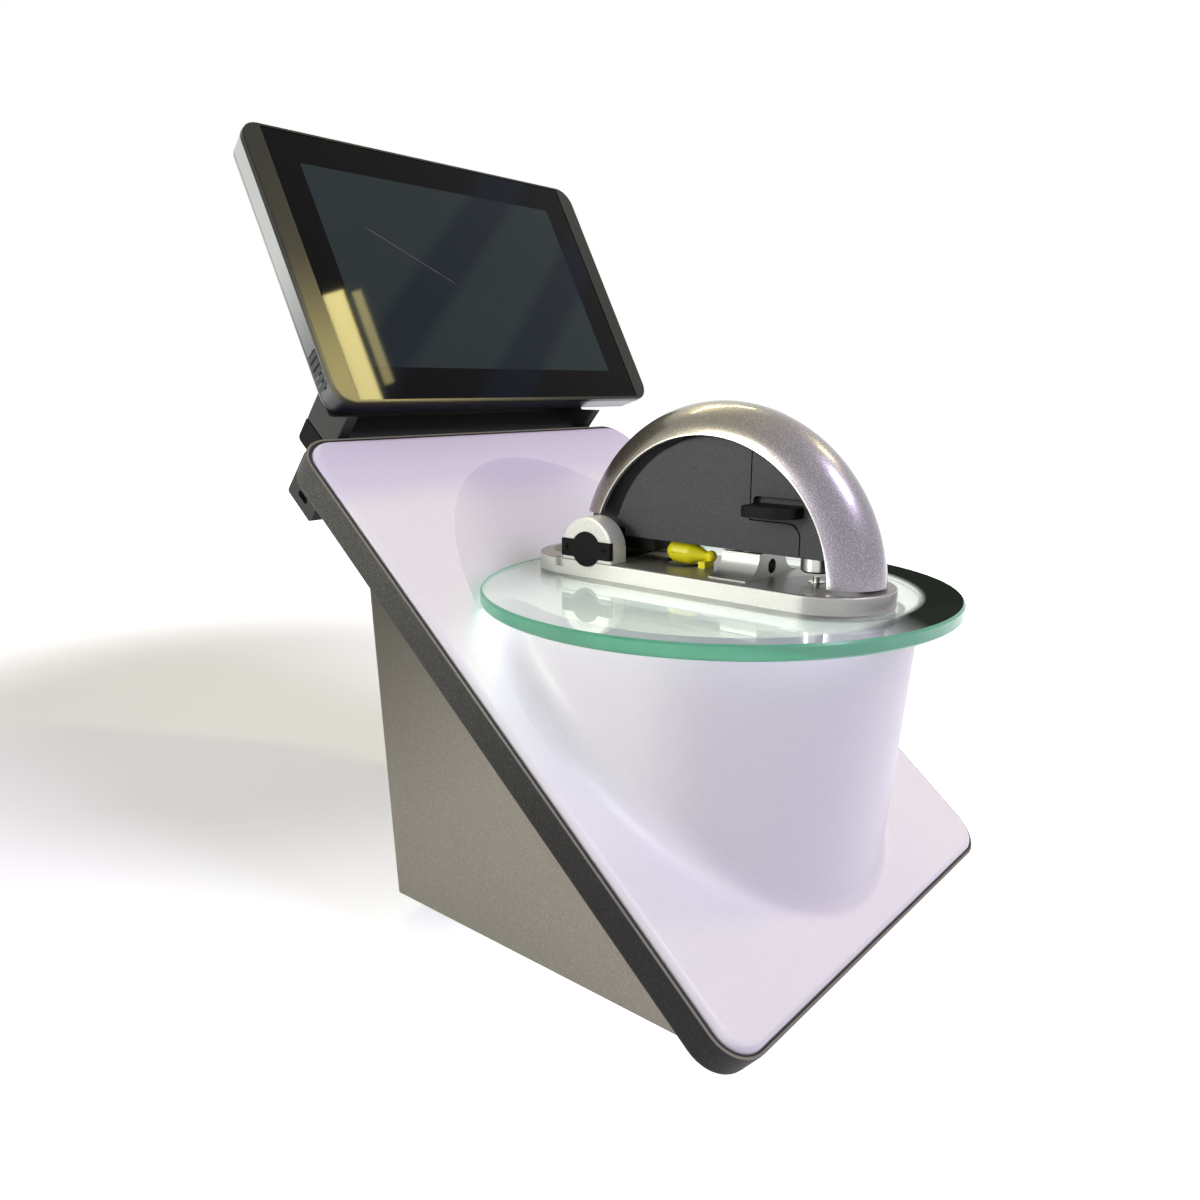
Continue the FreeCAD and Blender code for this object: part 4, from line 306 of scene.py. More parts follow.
# Painted shade: the stand darkens toward its top and back, under the tray.
grade(stand_coat, (0.0, 0.5, 0.87), 40, 150, "#7A7974")
dress(stand_coat, "stand")
seal_rubber = finish("black_seal_rubber", "#0C0C0C", "#161616", 0.6, bump_mm=0.02, gloss=(0.6, 0.75))
dress(seal_rubber, "cover_gasket", "foot_1", "foot_2", "foot_3", "foot_4", "boot_grommet")

# %% [markdown]
# ## Glass table
# A float glass disc is clear through its faces and green through its edge, where light has crossed
# the whole plate. The edge is ground, so it is duller than the faces. The face's own direction tells
# the two apart. Shadow rays pass straight through, as light does in a thin clear plate.


# %% Clear glass with a green edge
def glass_finish(name):
    material = bpy.data.materials.new(name)
    material.use_nodes = True
    tree = material.node_tree
    shader = tree.nodes["Principled BSDF"]
    shader.inputs["IOR"].default_value = 1.5
    surface = add(tree, "ShaderNodeNewGeometry")
    up = add(tree, "ShaderNodeSeparateXYZ", {}, {0: surface.outputs["True Normal"]})
    steep = add(tree, "ShaderNodeMath", {"operation": "ABSOLUTE"}, {0: up.outputs["Z"]})
    edge = add(tree, "ShaderNodeMapRange", {"From Min": 0.95, "From Max": 0.8}, {"Value": steep.outputs[0]})
    place = add(tree, "ShaderNodeTexCoord").outputs["Object"]
    dust = add(tree, "ShaderNodeTexNoise", {"Scale": 60.0, "Detail": 4.0}, {"Vector": place})
    low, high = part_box("glass_table")
    middle = (low + high) / 2
    from_middle = add(tree, "ShaderNodeVectorMath", {"operation": "SUBTRACT", 1: middle}, {0: place})
    radius = add(tree, "ShaderNodeVectorMath", {"operation": "LENGTH"}, {0: from_middle.outputs[0]})
    free = add(tree, "ShaderNodeMapRange", {"From Min": 75 * MM, "From Max": 78 * MM},
               {"Value": radius.outputs["Value"]})
    across = add(tree, "ShaderNodeVectorMath", {"operation": "DOT_PRODUCT", 1: (0.77, -0.64, 0.0)},
                 {0: from_middle.outputs[0]})
    right = add(tree, "ShaderNodeMapRange", {"From Min": 25 * MM, "From Max": 50 * MM},
                {"Value": across.outputs["Value"]})
    dark = add(tree, "ShaderNodeMath", {"operation": "MULTIPLY"}, {0: free.outputs[0], 1: right.outputs[0]})
    waver = add(tree, "ShaderNodeMix", {"data_type": "RGBA", 6: linear("#52BE92"), 7: linear("#79D2B0")},
                {0: dust.outputs["Fac"]})
    tint = add(tree, "ShaderNodeMix", {"data_type": "RGBA", 6: linear("#E8F0EC")},
               {0: edge.outputs[0], 7: waver.outputs[2]})
    tree.links.new(tint.outputs[2], shader.inputs["Base Color"])
    clear = add(tree, "ShaderNodeMapRange", {"To Min": 1.0, "To Max": 0.45}, {"Value": edge.outputs[0]})
    tree.links.new(clear.outputs[0], shader.inputs["Transmission Weight"])
    smear = add(tree, "ShaderNodeMapRange", {"From Min": 0.45, "From Max": 0.8, "To Max": 0.04},
                {"Value": dust.outputs["Fac"]})
    rough = add(tree, "ShaderNodeMath", {"operation": "MULTIPLY_ADD", 1: 0.2},
                {0: edge.outputs[0], 2: smear.outputs[0]})
    tree.links.new(rough.outputs[0], shader.inputs["Roughness"])
    # Painted reflection: on the face beyond the deck, at the right and rear, a dark green-grey diffuse
    # stands in for the dark room mirrored there.
    dark_room_reflection = add(tree, "ShaderNodeBsdfDiffuse", {"Color": linear("#262D27"), "Roughness": 0.3})
    face_only = add(tree, "ShaderNodeMath", {"operation": "SUBTRACT", "use_clamp": True},
                    {0: dark.outputs[0], 1: edge.outputs[0]})
    both = add(tree, "ShaderNodeMixShader", {}, {0: face_only.outputs[0], 1: shader.outputs[0],
                                                 2: dark_room_reflection.outputs[0]})
    path = add(tree, "ShaderNodeLightPath")
    gone = add(tree, "ShaderNodeBsdfTransparent", {"Color": linear("#EEF8F3")})
    mix = add(tree, "ShaderNodeMixShader", {}, {0: path.outputs["Is Shadow Ray"], 1: both.outputs[0],
                                                2: gone.outputs[0]})
    tree.links.new(mix.outputs[0], tree.nodes["Material Output"].inputs["Surface"])
    return material


dress(glass_finish("clear_float_glass"), "glass_table")
dress(finish("white_foam_tape", "#DADAD6", "#C9C9C4", 0.8, bump_mm=0.05, gloss=(0.7, 0.8)), "glass_pad")

# %% [markdown]
# ## Deck and hinge
# The deck is a die casting in aluminium under silver flake lacquer: bright, softly speckled, and
# only half mirror-like. Turned steel pieces stay bare.


# %% Silver lacquer, steel and black mouldings
def shade_level(material, level_mm, tint):
    """Tints only the faces that lie at one level: painted shade, such as on a top that mirrors what stands
    over it.
    """
    tree = material.node_tree
    shader = tree.nodes["Principled BSDF"]
    place = add(tree, "ShaderNodeTexCoord").outputs["Object"]
    level = add(tree, "ShaderNodeSeparateXYZ", {}, {0: place})
    above = add(tree, "ShaderNodeMath", {"operation": "SUBTRACT", 1: level_mm * MM},
                {0: level.outputs["Z"]})
    share = inside(tree, above.outputs[0], 0.2 * MM, 0.1 * MM)
    base = shader.inputs["Base Color"].links[0].from_socket
    mixed = add(tree, "ShaderNodeMix", {"data_type": "RGBA", "blend_type": "MULTIPLY", 7: linear(tint)},
                {0: share, 6: base})
    tree.links.new(mixed.outputs[2], shader.inputs["Base Color"])


DECK_THICKNESS = 6.4
DECK_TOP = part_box("glass_table")[1].z / MM + DECK_THICKNESS
deck_lacquer = finish("silver_flake_lacquer_on_casting", "#D6D6CC", "#E2E2DA", 0.5, bump_mm=0.02,
                      gloss=(0.34, 0.42), Metallic=0.4, Coat_Weight=0.2, Coat_Roughness=0.2)
add_flakes(deck_lacquer, 0.2, "#F4F3EE", 0.3)
# Painted shade: the deck's flat top is tinted darker.
shade_level(deck_lacquer, DECK_TOP, "#9F9F9C")
low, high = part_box("deck")
# Painted shade: the deck darkens toward its front.
grade(deck_lacquer, (0.0, -1.0, 0.0), 20 - high.y / MM, -low.y / MM, "#C2C0C5")
dress(deck_lacquer, "deck")
holder_metal = finish("bead_blasted_aluminium", "#9C9C98", "#ACACA9", 0.4, bump_mm=0.01, gloss=(0.34, 0.44),
                      Metallic=1.0)
dress(holder_metal, "cuvette_holder")
steel = finish("turned_stainless_steel", "#B9B8B2", "#CBCAC6", 0.3, bump_mm=0.005, gloss=(0.2, 0.32),
               Metallic=1.0)
dress(steel, "deck_screws", "hinge_shaft", "upper_pedestal", "lower_pedestal", "cuvette_spring",
      "tilt_axle", "display_rail", "display_screws")
disc_steel = finish("dark_steel_disc", "#32302D", "#413F3B", 0.3, bump_mm=0.005, gloss=(0.25, 0.35),
                    Metallic=1.0)
dress(disc_steel, "pedestal_disc")
black_abs = finish("black_moulded_ABS", "#0A0A0A", "#131313", 0.5, bump_mm=0.03, gloss=(0.38, 0.48),
                   Specular_IOR_Level=0.12)
dress(black_abs, "hinge_cap_left", "hinge_cap_right", "lift_tab", "display_runner_1", "display_runner_2",
      "port_panel", "power_inlet", "power_switch", "arm_barrel")
screw_black = finish("blackened_steel_screws", "#1B1A19", "#242322", 0.3, gloss=(0.25, 0.35), Metallic=0.9)
dress(screw_black, "hinge_cap_screws")
washer = finish("white_acetal", "#E4E2DA", "#D8D6CE", 0.5, gloss=(0.4, 0.5))
dress(washer, "friction_washer_left", "friction_washer_right")

# %% [markdown]
# ## Optical arm
# The arch is sprayed in champagne metallic lacquer with a clear coat over it. Flakes lie at small
# random tilts, so each catches the light at its own moment, and the clear coat adds sharp highlights.


# %% Champagne lacquer and charcoal core
def rim_shine(material, centre, radius_mm, width_mm, colour):
    """Paints a highlight on the lacquer beside a round opening along X, where a rounded edge faces the sky.
    """
    tree = material.node_tree
    shader = tree.nodes["Principled BSDF"]
    place = add(tree, "ShaderNodeTexCoord").outputs["Object"]
    moved = add(tree, "ShaderNodeVectorMath", {"operation": "SUBTRACT", 1: centre}, {0: place})
    flat = add(tree, "ShaderNodeVectorMath", {"operation": "MULTIPLY", 1: (0.0, 1.0, 1.0)},
               {0: moved.outputs[0]})
    away = add(tree, "ShaderNodeVectorMath", {"operation": "LENGTH"}, {0: flat.outputs[0]})
    near = add(tree, "ShaderNodeMapRange", {"From Min": (radius_mm + width_mm) * MM,
                                           "From Max": radius_mm * MM, "To Max": 0.65},
               {"Value": away.outputs["Value"]})
    base = shader.inputs["Base Color"].links[0].from_socket
    mixed = add(tree, "ShaderNodeMix", {"data_type": "RGBA", 7: linear(colour)},
                {0: near.outputs[0], 6: base})
    tree.links.new(mixed.outputs[2], shader.inputs["Base Color"])


arm_lacquer = finish("champagne_metallic_lacquer", "#7A7480", "#87818C", 0.5, gloss=(0.28, 0.34),
                     Metallic=0.85, Coat_Weight=0.8, Coat_Roughness=0.04)
add_flakes(arm_lacquer, 0.17, "#BDB7BC", 0.25, tilt=0.08)
low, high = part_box("arm_shell")
# Tinted olive toward the rear: partly the lacquer's champagne tone, partly a painted reflection of warm
# light from above.
grade(arm_lacquer, (0.0, 1.0, 0.0), low.y / MM + 15, low.y / MM + 60, "#F0EEC6")
ARM_CENTRE_Z = DECK_TOP - 3.0
ARM_RADIUS = high.z / MM - ARM_CENTRE_Z
rim_centre = (0.0, low.y + (ARM_RADIUS + 0.6) * MM, (DECK_TOP - 1.2) * MM)
# Painted highlight: a bright band along the arch's inner rim.
rim_shine(arm_lacquer, rim_centre, ARM_RADIUS - 14.1, 0.8, "#FFFDF4")
dress(arm_lacquer, "arm_shell")
core_nylon = finish("charcoal_moulded_nylon", "#3D3D40", "#474749", 0.5, bump_mm=0.06, gloss=(0.5, 0.6),
                    Specular_IOR_Level=0.3)
add_flakes(core_nylon, 0.3, "#5A5A5C", 0.12)
dress(core_nylon, "arm_core", "arm_nose")
boot_rubber = finish("yellow_moulded_PVC", "#F8EC00", "#FFF430", 0.7, bump_mm=0.02, gloss=(0.35, 0.45))
dress(boot_rubber, "fibre_boot")

# %% [markdown]
# ## Display
# The cover glass is printed black from behind, with a clear window over the picture panel, so the
# window looks a shade lighter and bluer than its border. Left and right of it lie brushed strips.


# %% Display glass, strips and shell
def display_axes():
    """The display's middle and the angle at which its face rises, read from the cover glass."""
    low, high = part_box("display_glass")
    middle = (low + high) / 2
    rise = math.atan2(high.z - low.z, high.y - low.y)
    return middle, rise


display_middle, display_rise = display_axes()
print("display slope", round(math.degrees(display_rise), 1))


def display_place(tree):
    """Object coordinates as seen by the display: X across, Y up its face, from its middle."""
    place = add(tree, "ShaderNodeTexCoord").outputs["Object"]
    moved = add(tree, "ShaderNodeVectorMath", {"operation": "SUBTRACT", 1: display_middle}, {0: place})
    turned = add(tree, "ShaderNodeVectorRotate", {"rotation_type": "X_AXIS", "Angle": -display_rise},
                 {"Vector": moved.outputs[0]})
    return turned.outputs[0]


SCREEN_HALF = (75.4 * MM, 47.1 * MM)
SCREEN_SHIFT = -0.7 * MM
SHEEN_TURN = math.radians(41.0)
SHEEN_BANDS = (17.0 * MM, -55.0 * MM)
SHEEN_HALF = 7.0 * MM
SCRATCH_START = (-52.0 * MM, 19.0 * MM)
SCRATCH_LENGTH = 43.0 * MM
SCRATCH_TURN = math.radians(-30.0)


def turned_axes(tree, corner, angle):
    """X and Y on the display's face, measured from a corner and turned by an angle."""
    moved = add(tree, "ShaderNodeVectorMath", {"operation": "SUBTRACT", 1: (*corner, 0.0)},
                {0: display_place(tree)})
    turned = add(tree, "ShaderNodeVectorRotate", {"rotation_type": "Z_AXIS", "Angle": -angle},
                 {"Vector": moved.outputs[0]})
    return add(tree, "ShaderNodeSeparateXYZ", {}, {0: turned.outputs[0]})


def display_glass_finish():
    material = bpy.data.materials.new("black_printed_cover_glass")
    material.use_nodes = True
    tree = material.node_tree
    shader = tree.nodes["Principled BSDF"]
    shader.inputs["IOR"].default_value = 1.52
    shader.inputs["Specular IOR Level"].default_value = 0.05
    axes = add(tree, "ShaderNodeSeparateXYZ", {}, {0: display_place(tree)})
    across = add(tree, "ShaderNodeMath", {"operation": "SUBTRACT", 1: SCREEN_SHIFT}, {0: axes.outputs["X"]})
    wide = inside(tree, across.outputs[0], SCREEN_HALF[0], 0.3 * MM)
    tall = inside(tree, axes.outputs["Y"], SCREEN_HALF[1], 0.3 * MM)
    window = add(tree, "ShaderNodeMath", {"operation": "MULTIPLY"}, {0: wide, 1: tall})
    smear = add(tree, "ShaderNodeTexNoise", {"Scale": 12.0, "Detail": 3.0}, {"Vector": display_place(tree)})
    picture = add(tree, "ShaderNodeMix", {"data_type": "RGBA", 6: linear("#252D2F"), 7: linear("#2D3638")},
                  {0: smear.outputs["Fac"]})
    paint = add(tree, "ShaderNodeMix", {"data_type": "RGBA", 6: linear("#070708")},
                {0: window.outputs[0], 7: picture.outputs[2]})
    # Painted reflection: two darker blue diagonal bands across the glass stand in for a sheen of the room
    # mirrored in it.
    for level in SHEEN_BANDS:
        sheen = turned_axes(tree, (0.0, level), SHEEN_TURN)
        band = inside(tree, sheen.outputs["Y"], SHEEN_HALF, SHEEN_HALF)
        weak = add(tree, "ShaderNodeMath", {"operation": "MULTIPLY", 1: 0.55}, {0: band})
        paint = add(tree, "ShaderNodeMix", {"data_type": "RGBA", 7: linear("#0D1726")},
                    {0: weak.outputs[0], 6: paint.outputs[2]})
    scratch = turned_axes(tree, SCRATCH_START, SCRATCH_TURN)
    along = add(tree, "ShaderNodeMath", {"operation": "SUBTRACT", 1: SCRATCH_LENGTH / 2},
                {0: scratch.outputs["X"]})
    length = inside(tree, along.outputs[0], SCRATCH_LENGTH / 2, 4 * MM)
    width = inside(tree, scratch.outputs["Y"], 0.05 * MM, 0.15 * MM)
    cut = add(tree, "ShaderNodeMath", {"operation": "MULTIPLY"}, {0: length, 1: width})
    faint = add(tree, "ShaderNodeMath", {"operation": "MULTIPLY", 1: 0.5}, {0: cut.outputs[0]})
    paint = add(tree, "ShaderNodeMix", {"data_type": "RGBA", 7: linear("#8A8F8E")},
                {0: faint.outputs[0], 6: paint.outputs[2]})
    tree.links.new(paint.outputs[2], shader.inputs["Base Color"])
    rough = add(tree, "ShaderNodeMapRange", {"To Min": 0.02, "To Max": 0.05},
                {"Value": smear.outputs["Fac"]})
    tree.links.new(rough.outputs[0], shader.inputs["Roughness"])
    return material


dress(display_glass_finish(), "display_glass")


def brushed(name, colour, other, pitch_mm, metallic, gloss):
    """Brushed metal: long streaks up the display, each about as wide as the pitch."""
    material = bpy.data.materials.new(name)
    material.use_nodes = True
    tree = material.node_tree
    shader = tree.nodes["Principled BSDF"]
    shader.inputs["Metallic"].default_value = metallic
    long = add(tree, "ShaderNodeMapping", {"Scale": (1000 / pitch_mm, 14.0, 1000 / pitch_mm)},
               {"Vector": display_place(tree)})
    streaks = add(tree, "ShaderNodeTexNoise", {"Scale": 1.0, "Detail": 3.0}, {"Vector": long.outputs[0]})
    paint = add(tree, "ShaderNodeMix", {"data_type": "RGBA", 6: linear(colour), 7: linear(other)},
                {0: streaks.outputs["Fac"]})
    tree.links.new(paint.outputs[2], shader.inputs["Base Color"])
    rough = add(tree, "ShaderNodeMapRange", {"To Min": gloss[0], "To Max": gloss[1]},
                {"Value": streaks.outputs["Fac"]})
    tree.links.new(rough.outputs[0], shader.inputs["Roughness"])
    bump = add(tree, "ShaderNodeBump", {"Strength": 0.3, "Distance": 0.01 * MM},
               {"Height": streaks.outputs["Fac"]})
    tree.links.new(bump.outputs["Normal"], shader.inputs["Normal"])
    return material


ACROSS = (1.0, 0.0, 0.0)
UP_DISPLAY = (0.0, math.cos(display_rise), math.sin(display_rise))
display_level = display_middle.dot(Vector(UP_DISPLAY)) / MM
bezel_metal = brushed("dark_brushed_bezel", "#55513B", "#625E44", 0.3, 0.6, (0.3, 0.42))
# Painted reflection and shade: the strips darken toward the top and toward the right, and keep their
# olive-gold tone low down.
grade(bezel_metal, UP_DISPLAY, display_level - 62, display_level + 10, "#48484F")
grade(bezel_metal, ACROSS, 1000 * display_middle.x - 80, 1000 * display_middle.x + 60, "#5C5F67")
dress(bezel_metal, "display_bezel")
shell_metal = brushed("silver_brushed_shell", "#B8BBB8", "#CACDC9", 0.3, 0.6, (0.26, 0.36))
# Painted reflection and shade: the shell darkens toward the bottom, and its lower wall takes a lilac tint,
# the lilac front mirrored in it.
grade(shell_metal, [-v for v in UP_DISPLAY], -10 - display_level, 50 - display_level, "#7E8080")
grade(shell_metal, [-v for v in UP_DISPLAY], 60 - display_level, 62 - display_level, "#D8D0FF")
dress(shell_metal, "display_shell")
screen_film = finish("liquid_crystal_film", "#14181A", "#1B2022", 1.0, gloss=(0.3, 0.4))
dress(screen_film, "display_screen")

# %% [markdown]
# ## Display mount, boards and what else lies hidden
# The yoke is moulded with a coarse leather grain. Its mesh is a copy of the solid with both cheeks
# shortened, so that they end under the display's lower wall, and with its sharp edges broken. The
# carrier and the bracket are smoother castings. Boards are green, inner brackets zinc plated sheet.

# %% Mount and hidden pieces
yoke_grain = finish("coarse_grained_dark_moulding", "#333433", "#3F403E", 1.0, bump_mm=0.3,
                    gloss=(0.5, 0.6), Specular_IOR_Level=0.25)
TIP_DROP = 9.5 * MM
REST_SHIFT = (2.0 * MM, 1.3 * MM)
YOKE_EDGE = 0.7 * MM


def make_yoke():
    """The yoke's own mesh, with its cheeks trimmed to end just under the display's lower wall."""
    up, out = Vector(UP_SLOPE), Vector((0.0, -math.sin(SLOPE), math.cos(SLOPE)))
    form = bmesh.new()
    form.from_mesh(nodes["display_arm"].data)
    bmesh.ops.remove_doubles(form, verts=form.verts, dist=0.01 * MM)
    front = min(corner.co.dot(up) for corner in form.verts)
    tip = max(corner.co.dot(out) for corner in form.verts if corner.co.dot(up) < front + 0.1 * MM)
    for corner in form.verts:
        ahead = corner.co.dot(up) - front
        below = tip - corner.co.dot(out)
        if ahead < 0.1 * MM and below < 0.1 * MM:
            corner.co -= out * TIP_DROP
        elif 4 * MM < ahead < 10 * MM and below < 25 * MM:
            corner.co += up * REST_SHIFT[0] + out * REST_SHIFT[1]
    bmesh.ops.dissolve_limit(form, angle_limit=math.radians(1.0), verts=form.verts, edges=form.edges)
    bmesh.ops.recalc_face_normals(form, faces=form.faces)
    mesh = bpy.data.meshes.new("yoke_trimmed")
    form.to_mesh(mesh)
    form.free()
    mesh.materials.append(yoke_grain)
    mesh.materials.append(seal_rubber)
    # Painted shade: faces that look down the slope, the cheeks' fronts in the display's shadow, take the
    # black rubber finish.
    for face in mesh.polygons:
        face.material_index = int(face.normal.dot(up) < -0.9)
    piece = bpy.data.objects.new("yoke_trimmed", mesh)
    bpy.context.scene.collection.objects.link(piece)
    bevel = piece.modifiers.new("soft_edges", "BEVEL")
    bevel.width = YOKE_EDGE
    bevel.segments = 2
    bevel.limit_method = "ANGLE"
    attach(piece, "display_mount")
    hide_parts("display_arm")
    print("yoke", len(mesh.vertices), "corners")


make_yoke()
mount_lacquer = finish("dark_lacquer_on_casting", "#0E0E0E", "#151514", 0.6, bump_mm=0.03, gloss=(0.4, 0.5),
                       Specular_IOR_Level=0.06)
dress(mount_lacquer, "tilt_carrier")
bracket_coat = finish("textured_coat_on_bracket", "#303030", "#3C3C3C", 0.6, bump_mm=0.05,
                      gloss=(0.45, 0.55), Specular_IOR_Level=0.2)
dress(bracket_coat, "hinge_bracket")
board = finish("green_solder_mask", "#0E4A2A", "#155A36", 1.5, bump_mm=0.03, gloss=(0.3, 0.4))
dress(board, "main_board", "port_board", "display_board")
zinc = finish("zinc_plated_sheet", "#A9ADB0", "#BEC1C2", 3.0, bump_mm=0.01, gloss=(0.3, 0.45), Metallic=1.0)
dress(zinc, "base_plate", "optics_bracket", "usb_socket_1", "usb_socket_2", "network_socket")
anodised = finish("black_anodised_aluminium", "#17171A", "#202024", 0.5, bump_mm=0.01, gloss=(0.4, 0.5),
                  Metallic=0.8)
dress(anodised, "spectrometer", "flash_lamp")
button_abs = finish("grey_moulded_ABS", "#5E5E5E", "#686868", 0.5, bump_mm=0.02, gloss=(0.35, 0.45))
dress(button_abs, "power_button")

# %% [markdown]
# ## Grips and contacts
# Low on each side of the display, five bars stand between grooves, where a hand pushes it along
# its rail. They are moulded with the housing. A black sheet behind them is painted shade for the
# grooves. The contacts in the sockets are gilded spring wire.

# %% Grip bars and socket contacts
GRIP_BARS = 5
GRIP_PITCH = 3.2
GRIP_LOW = -52.3
GRIP_BAR = (1.6, 2.3, 8.0)
GRIP_MIDDLE = -5.2
GRIP_PROUD = 0.2
WALL_FRONT = (99.7, 1.6)
WALL_DRAFT = math.radians(10.0)
# Painted shade: a black sheet behind each row of bars darkens the grooves between them.
groove_shade_sheet = finish("groove_floor_painted_shade", "#050505", "#0B0B0B", 0.6, gloss=(0.6, 0.7),
                      Specular_IOR_Level=0.15)
grip_metal = finish("dark_satin_grip", "#3A3C3E", "#484A4C", 0.4, gloss=(0.5, 0.6),
                    Specular_IOR_Level=0.25)
on_display = Matrix.Translation(display_middle) @ Matrix.Rotation(display_rise, 4, "X")
for side, word in ((-1, "left"), (1, "right")):
    wall = (on_display @ Matrix.Translation((side * WALL_FRONT[0] * MM, 0.0, -WALL_FRONT[1] * MM))
            @ Matrix.Rotation(side * WALL_DRAFT, 4, "Y"))
    bar_start = (side * (GRIP_PROUD - GRIP_BAR[0] / 2), GRIP_LOW, GRIP_MIDDLE)
    row("grip_bars_" + word, "display", grip_metal, GRIP_BARS, bar_start, (0, GRIP_PITCH, 0), GRIP_BAR,
        0.25, wall)
    row("grip_floor_" + word, "display", groove_shade_sheet, 1,
        (-side * 0.25, GRIP_LOW + 2 * GRIP_PITCH, GRIP_MIDDLE), (0, 0, 0),
        (0.6, GRIP_BARS * GRIP_PITCH + 0.4, GRIP_BAR[2] + 0.2), 0.1, wall)
gilt = finish("gilded_contacts", "#C9A24A", "#D9B661", 0.4, gloss=(0.2, 0.3), Metallic=1.0)
low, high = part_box("network_socket")
NETWORK_PITCH = 1.02
USB_PITCH = 2.0
wire_start = (1000 * (low.x + high.x) / 2 - 3.5 * NETWORK_PITCH, 1000 * high.y - 6, 1000 * high.z - 2.6)
row("network_contacts", "base", gilt, 8, wire_start, (NETWORK_PITCH, 0, 0), (0.4, 9.0, 0.35), 0.1)
for index in (1, 2):
    low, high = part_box("usb_socket_%d" % index)
    blade_start = (1000 * (low.x + high.x) / 2 - 1.5 * USB_PITCH, 1000 * high.y - 5,
                   1000 * low.z + 5.8 * 0.45 - 0.1)
    row("usb_contacts_%d" % index, "base", gilt, 4, blade_start, (USB_PITCH, 0, 0), (1.0, 6.5, 0.3), 0.1)

# %% [markdown]
# ## Bench, light and camera
# A plain pale floor, a soft box high in front, a weak one at the left for the display's side wall,
# two strips above that draw the lines along the arch, and two warm strips that the cover glass
# mirrors at its lower left. Seen by the camera, the floor is lifted to white away from the shadow
# behind the object, and it still takes that shadow. Sky and floor look white to all that mirrors them.

# %% Floor
FLOOR_RADIUS = 6.0
FLOOR_LIFT = 0.12
SHADE_PLACE = (0.0, 0.31, 0.0)
SHADE_EDGE = (0.15, 0.45)


def background_rays(tree):
    """1 for the rays that show the background: seen directly, mirrored, or through glass."""
    path = add(tree, "ShaderNodeLightPath")
    shown = add(tree, "ShaderNodeMath", {"operation": "MAXIMUM"},
                {0: path.outputs["Is Glossy Ray"], 1: path.outputs["Is Transmission Ray"]})
    return add(tree, "ShaderNodeMath", {"operation": "MAXIMUM"},
               {0: path.outputs["Is Camera Ray"], 1: shown.outputs[0]}).outputs[0]


def make_floor():
    """A pale disc that glows a little for the camera, except round the place of the shadow."""
    mesh = bpy.data.meshes.new("floor")
    form = bmesh.new()
    bmesh.ops.create_circle(form, cap_ends=True, segments=64, radius=FLOOR_RADIUS)
    form.to_mesh(mesh)
    form.free()
    floor = bpy.data.objects.new("floor", mesh)
    bpy.context.scene.collection.objects.link(floor)
    material = bpy.data.materials.new("pale_painted_floor")
    material.use_nodes = True
    tree = material.node_tree
    shader = tree.nodes["Principled BSDF"]
    shader.inputs["Base Color"].default_value = linear("#ECECF6")
    shader.inputs["Roughness"].default_value = 0.9
    shader.inputs["Specular IOR Level"].default_value = 0.1
    place = add(tree, "ShaderNodeTexCoord").outputs["Object"]
    from_shade = add(tree, "ShaderNodeVectorMath", {"operation": "SUBTRACT", 1: SHADE_PLACE}, {0: place})
    away = add(tree, "ShaderNodeVectorMath", {"operation": "LENGTH"}, {0: from_shade.outputs[0]})
    lift = add(tree, "ShaderNodeMapRange", {"interpolation_type": "SMOOTHSTEP", "From Min": SHADE_EDGE[0],
                                           "From Max": SHADE_EDGE[1], "To Min": FLOOR_LIFT},
               {"Value": away.outputs["Value"]})
    strength = add(tree, "ShaderNodeMath", {"operation": "MULTIPLY"},
                   {0: background_rays(tree), 1: lift.outputs[0]})
    glow = add(tree, "ShaderNodeEmission", {"Color": linear("#FFFFFF")}, {"Strength": strength.outputs[0]})
    both = add(tree, "ShaderNodeAddShader", {}, {0: shader.outputs[0], 1: glow.outputs[0]})
    tree.links.new(both.outputs[0], tree.nodes["Material Output"].inputs["Surface"])
    mesh.materials.append(material)
    floor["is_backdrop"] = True


make_floor()
print("floor radius in m", FLOOR_RADIUS)

# %% Where the camera stands
CAMERA_PLACE = (-0.32557, -0.25720, 0.20833)
CAMERA_TURN = -50.09
CAMERA_PITCH = -12.583
CAMERA_ROLL = 0.328
CAMERA_LENS = 29.48
print("camera at", CAMERA_PLACE, "lens", CAMERA_LENS, "mm")

# %% Sky and lamps
world = bpy.data.worlds.new("even_sky")
bpy.context.scene.world = world
world.use_nodes = True
sky = world.node_tree
ground = sky.nodes["Background"]
ground.inputs["Color"].default_value = linear("#F4F4F2")
ground.inputs["Strength"].default_value = 0.43
white = add(sky, "ShaderNodeBackground", {"Color": linear("#FFFFFF"), "Strength": 1.0})
pick = add(sky, "ShaderNodeMixShader", {},
           {0: background_rays(sky), 1: ground.outputs[0], 2: white.outputs[0]})
sky.links.new(pick.outputs[0], sky.nodes["World Output"].inputs["Surface"])


def lamp(name, place, aim, size, power, colour, spread=180.0):
    """A soft box at place that points at aim, with a grid that narrows its beam to a spread in degrees."""
    data = bpy.data.lights.new(name, "AREA")
    data.shape = "RECTANGLE"
    data.size, data.size_y = size
    data.energy = power
    data.color = linear(colour)[:3]
    data.spread = math.radians(spread)
    box = bpy.data.objects.new(name, data)
    box.location = place
    box.rotation_euler = (Vector(aim) - Vector(place)).to_track_quat("-Z", "Y").to_euler()
    bpy.context.scene.collection.objects.link(box)
    return box


def mirrored_place(point, eye, normal, distance):
    """Where a lamp stands that a flat mirror at point shows to the eye."""
    ray = (Vector(point) - Vector(eye)).normalized()
    return Vector(point) + ray.reflect(Vector(normal)) * distance


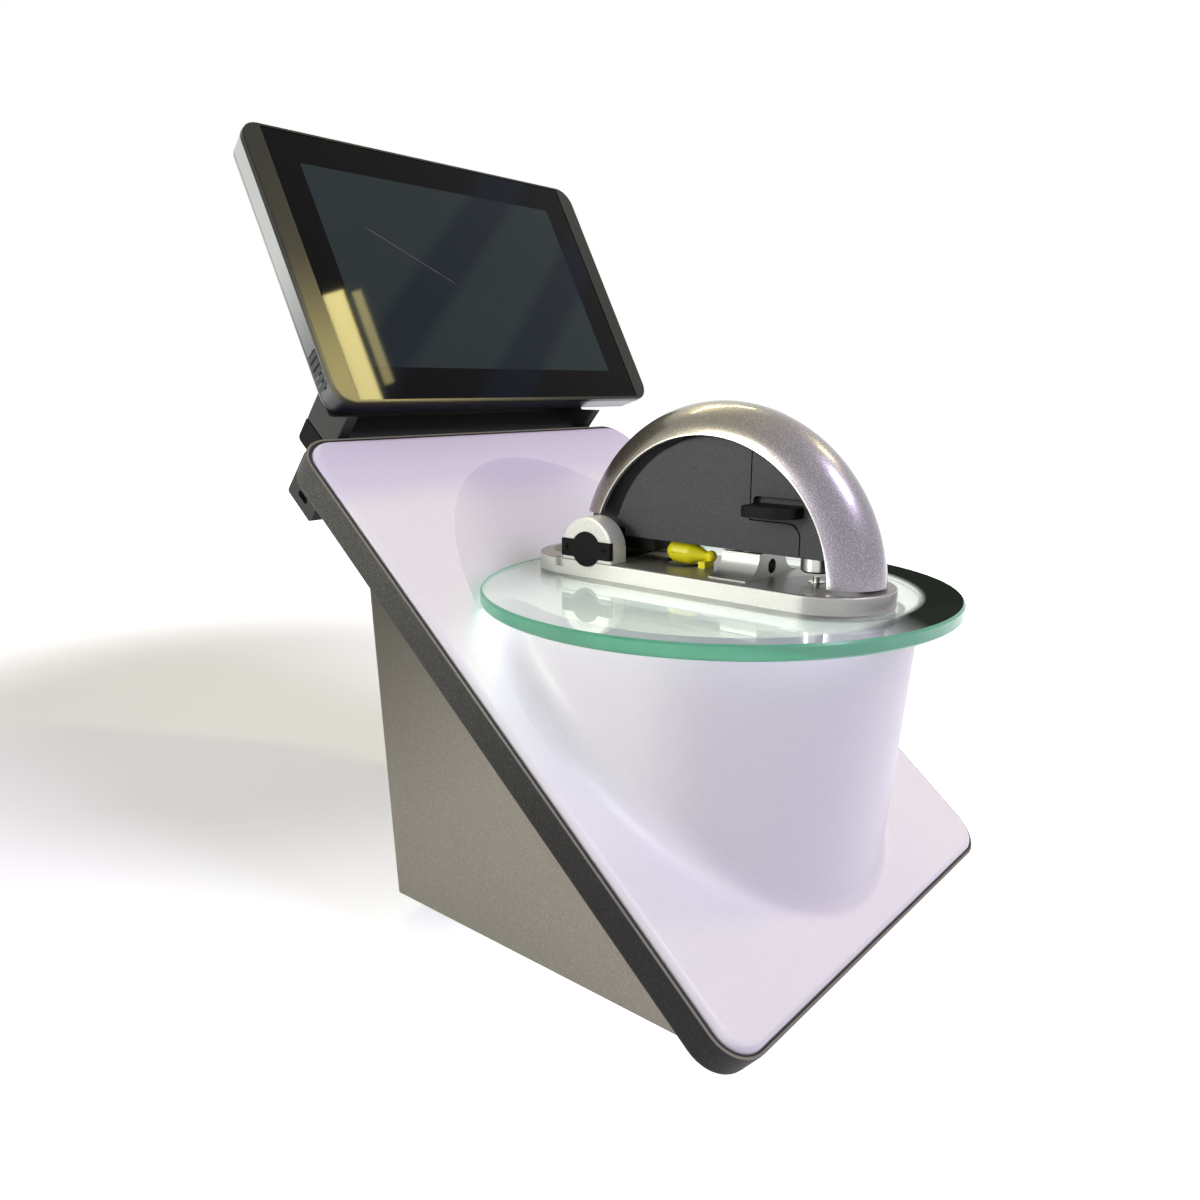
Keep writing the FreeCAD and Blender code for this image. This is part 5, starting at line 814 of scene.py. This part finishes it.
lamp("front_soft_box", (0.17, -1.00, 1.16), (0.0, 0.0, 0.12), (0.45, 0.45), 10.2, "#F1E8FF")
lamp("left_soft_box", (-1.10, 0.50, 0.50), (-0.04, 0.02, 0.19), (0.45, 0.45), 0.42, "#FBFCF2", 32.0)
for index, shift in enumerate((0.0, 0.22)):
    lamp("top_strip_%d" % index, (0.30 + shift, 0.80 - shift, 1.25), (0.0, 0.0, 0.2), (0.6, 0.06), 2.5,
         "#FFF6C8")
MIRROR_DISTANCE = 1.1
STREAKS = ((-85.0, -42.5, 0.031, 0.18, 1.8), (-72.8, -37.0, 0.014, 0.15, 0.22))
glass_turn = Matrix.Rotation(display_rise, 3, "X")
up_glass = glass_turn @ Vector((0.0, 1.0, 0.0))
glass_normal = glass_turn @ Vector((0.0, 0.0, 1.0))
for index, (across, up, width, length, power) in enumerate(STREAKS):
    mirror = display_middle + glass_turn @ Vector((across * MM, up * MM, 0.0))
    place = mirrored_place(mirror, CAMERA_PLACE, glass_normal, MIRROR_DISTANCE)
    strip = lamp("warm_strip_%d" % index, place, mirror, (width, length), power, "#FFEFA0")
    back = (place - mirror).normalized()
    back = (back - up_glass * back.dot(up_glass)).normalized()
    turn = Matrix((up_glass.cross(back), up_glass, back)).transposed()
    strip.matrix_world = Matrix.Translation(place) @ turn.to_4x4()
    print("warm strip", index, "at", [round(v, 2) for v in place])

# %% Camera
camera = bpy.data.objects.new("camera", bpy.data.cameras.new("camera"))
camera.data.lens = CAMERA_LENS
camera.data.sensor_width = 36.0
camera.data.clip_start = 0.01
camera.matrix_world = (Matrix.Translation(CAMERA_PLACE)
                       @ Matrix.Rotation(math.radians(CAMERA_TURN), 4, "Z")
                       @ Matrix.Rotation(math.radians(90 + CAMERA_PITCH), 4, "X")
                       @ Matrix.Rotation(math.radians(CAMERA_ROLL), 4, "Z"))
bpy.context.scene.collection.objects.link(camera)
bpy.context.scene.camera = camera
bpy.context.scene.view_settings.view_transform = "Standard"

# %% The size of what is seen
low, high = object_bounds()
print("visual size in mm", [round(1000 * v, 1) for v in high - low])
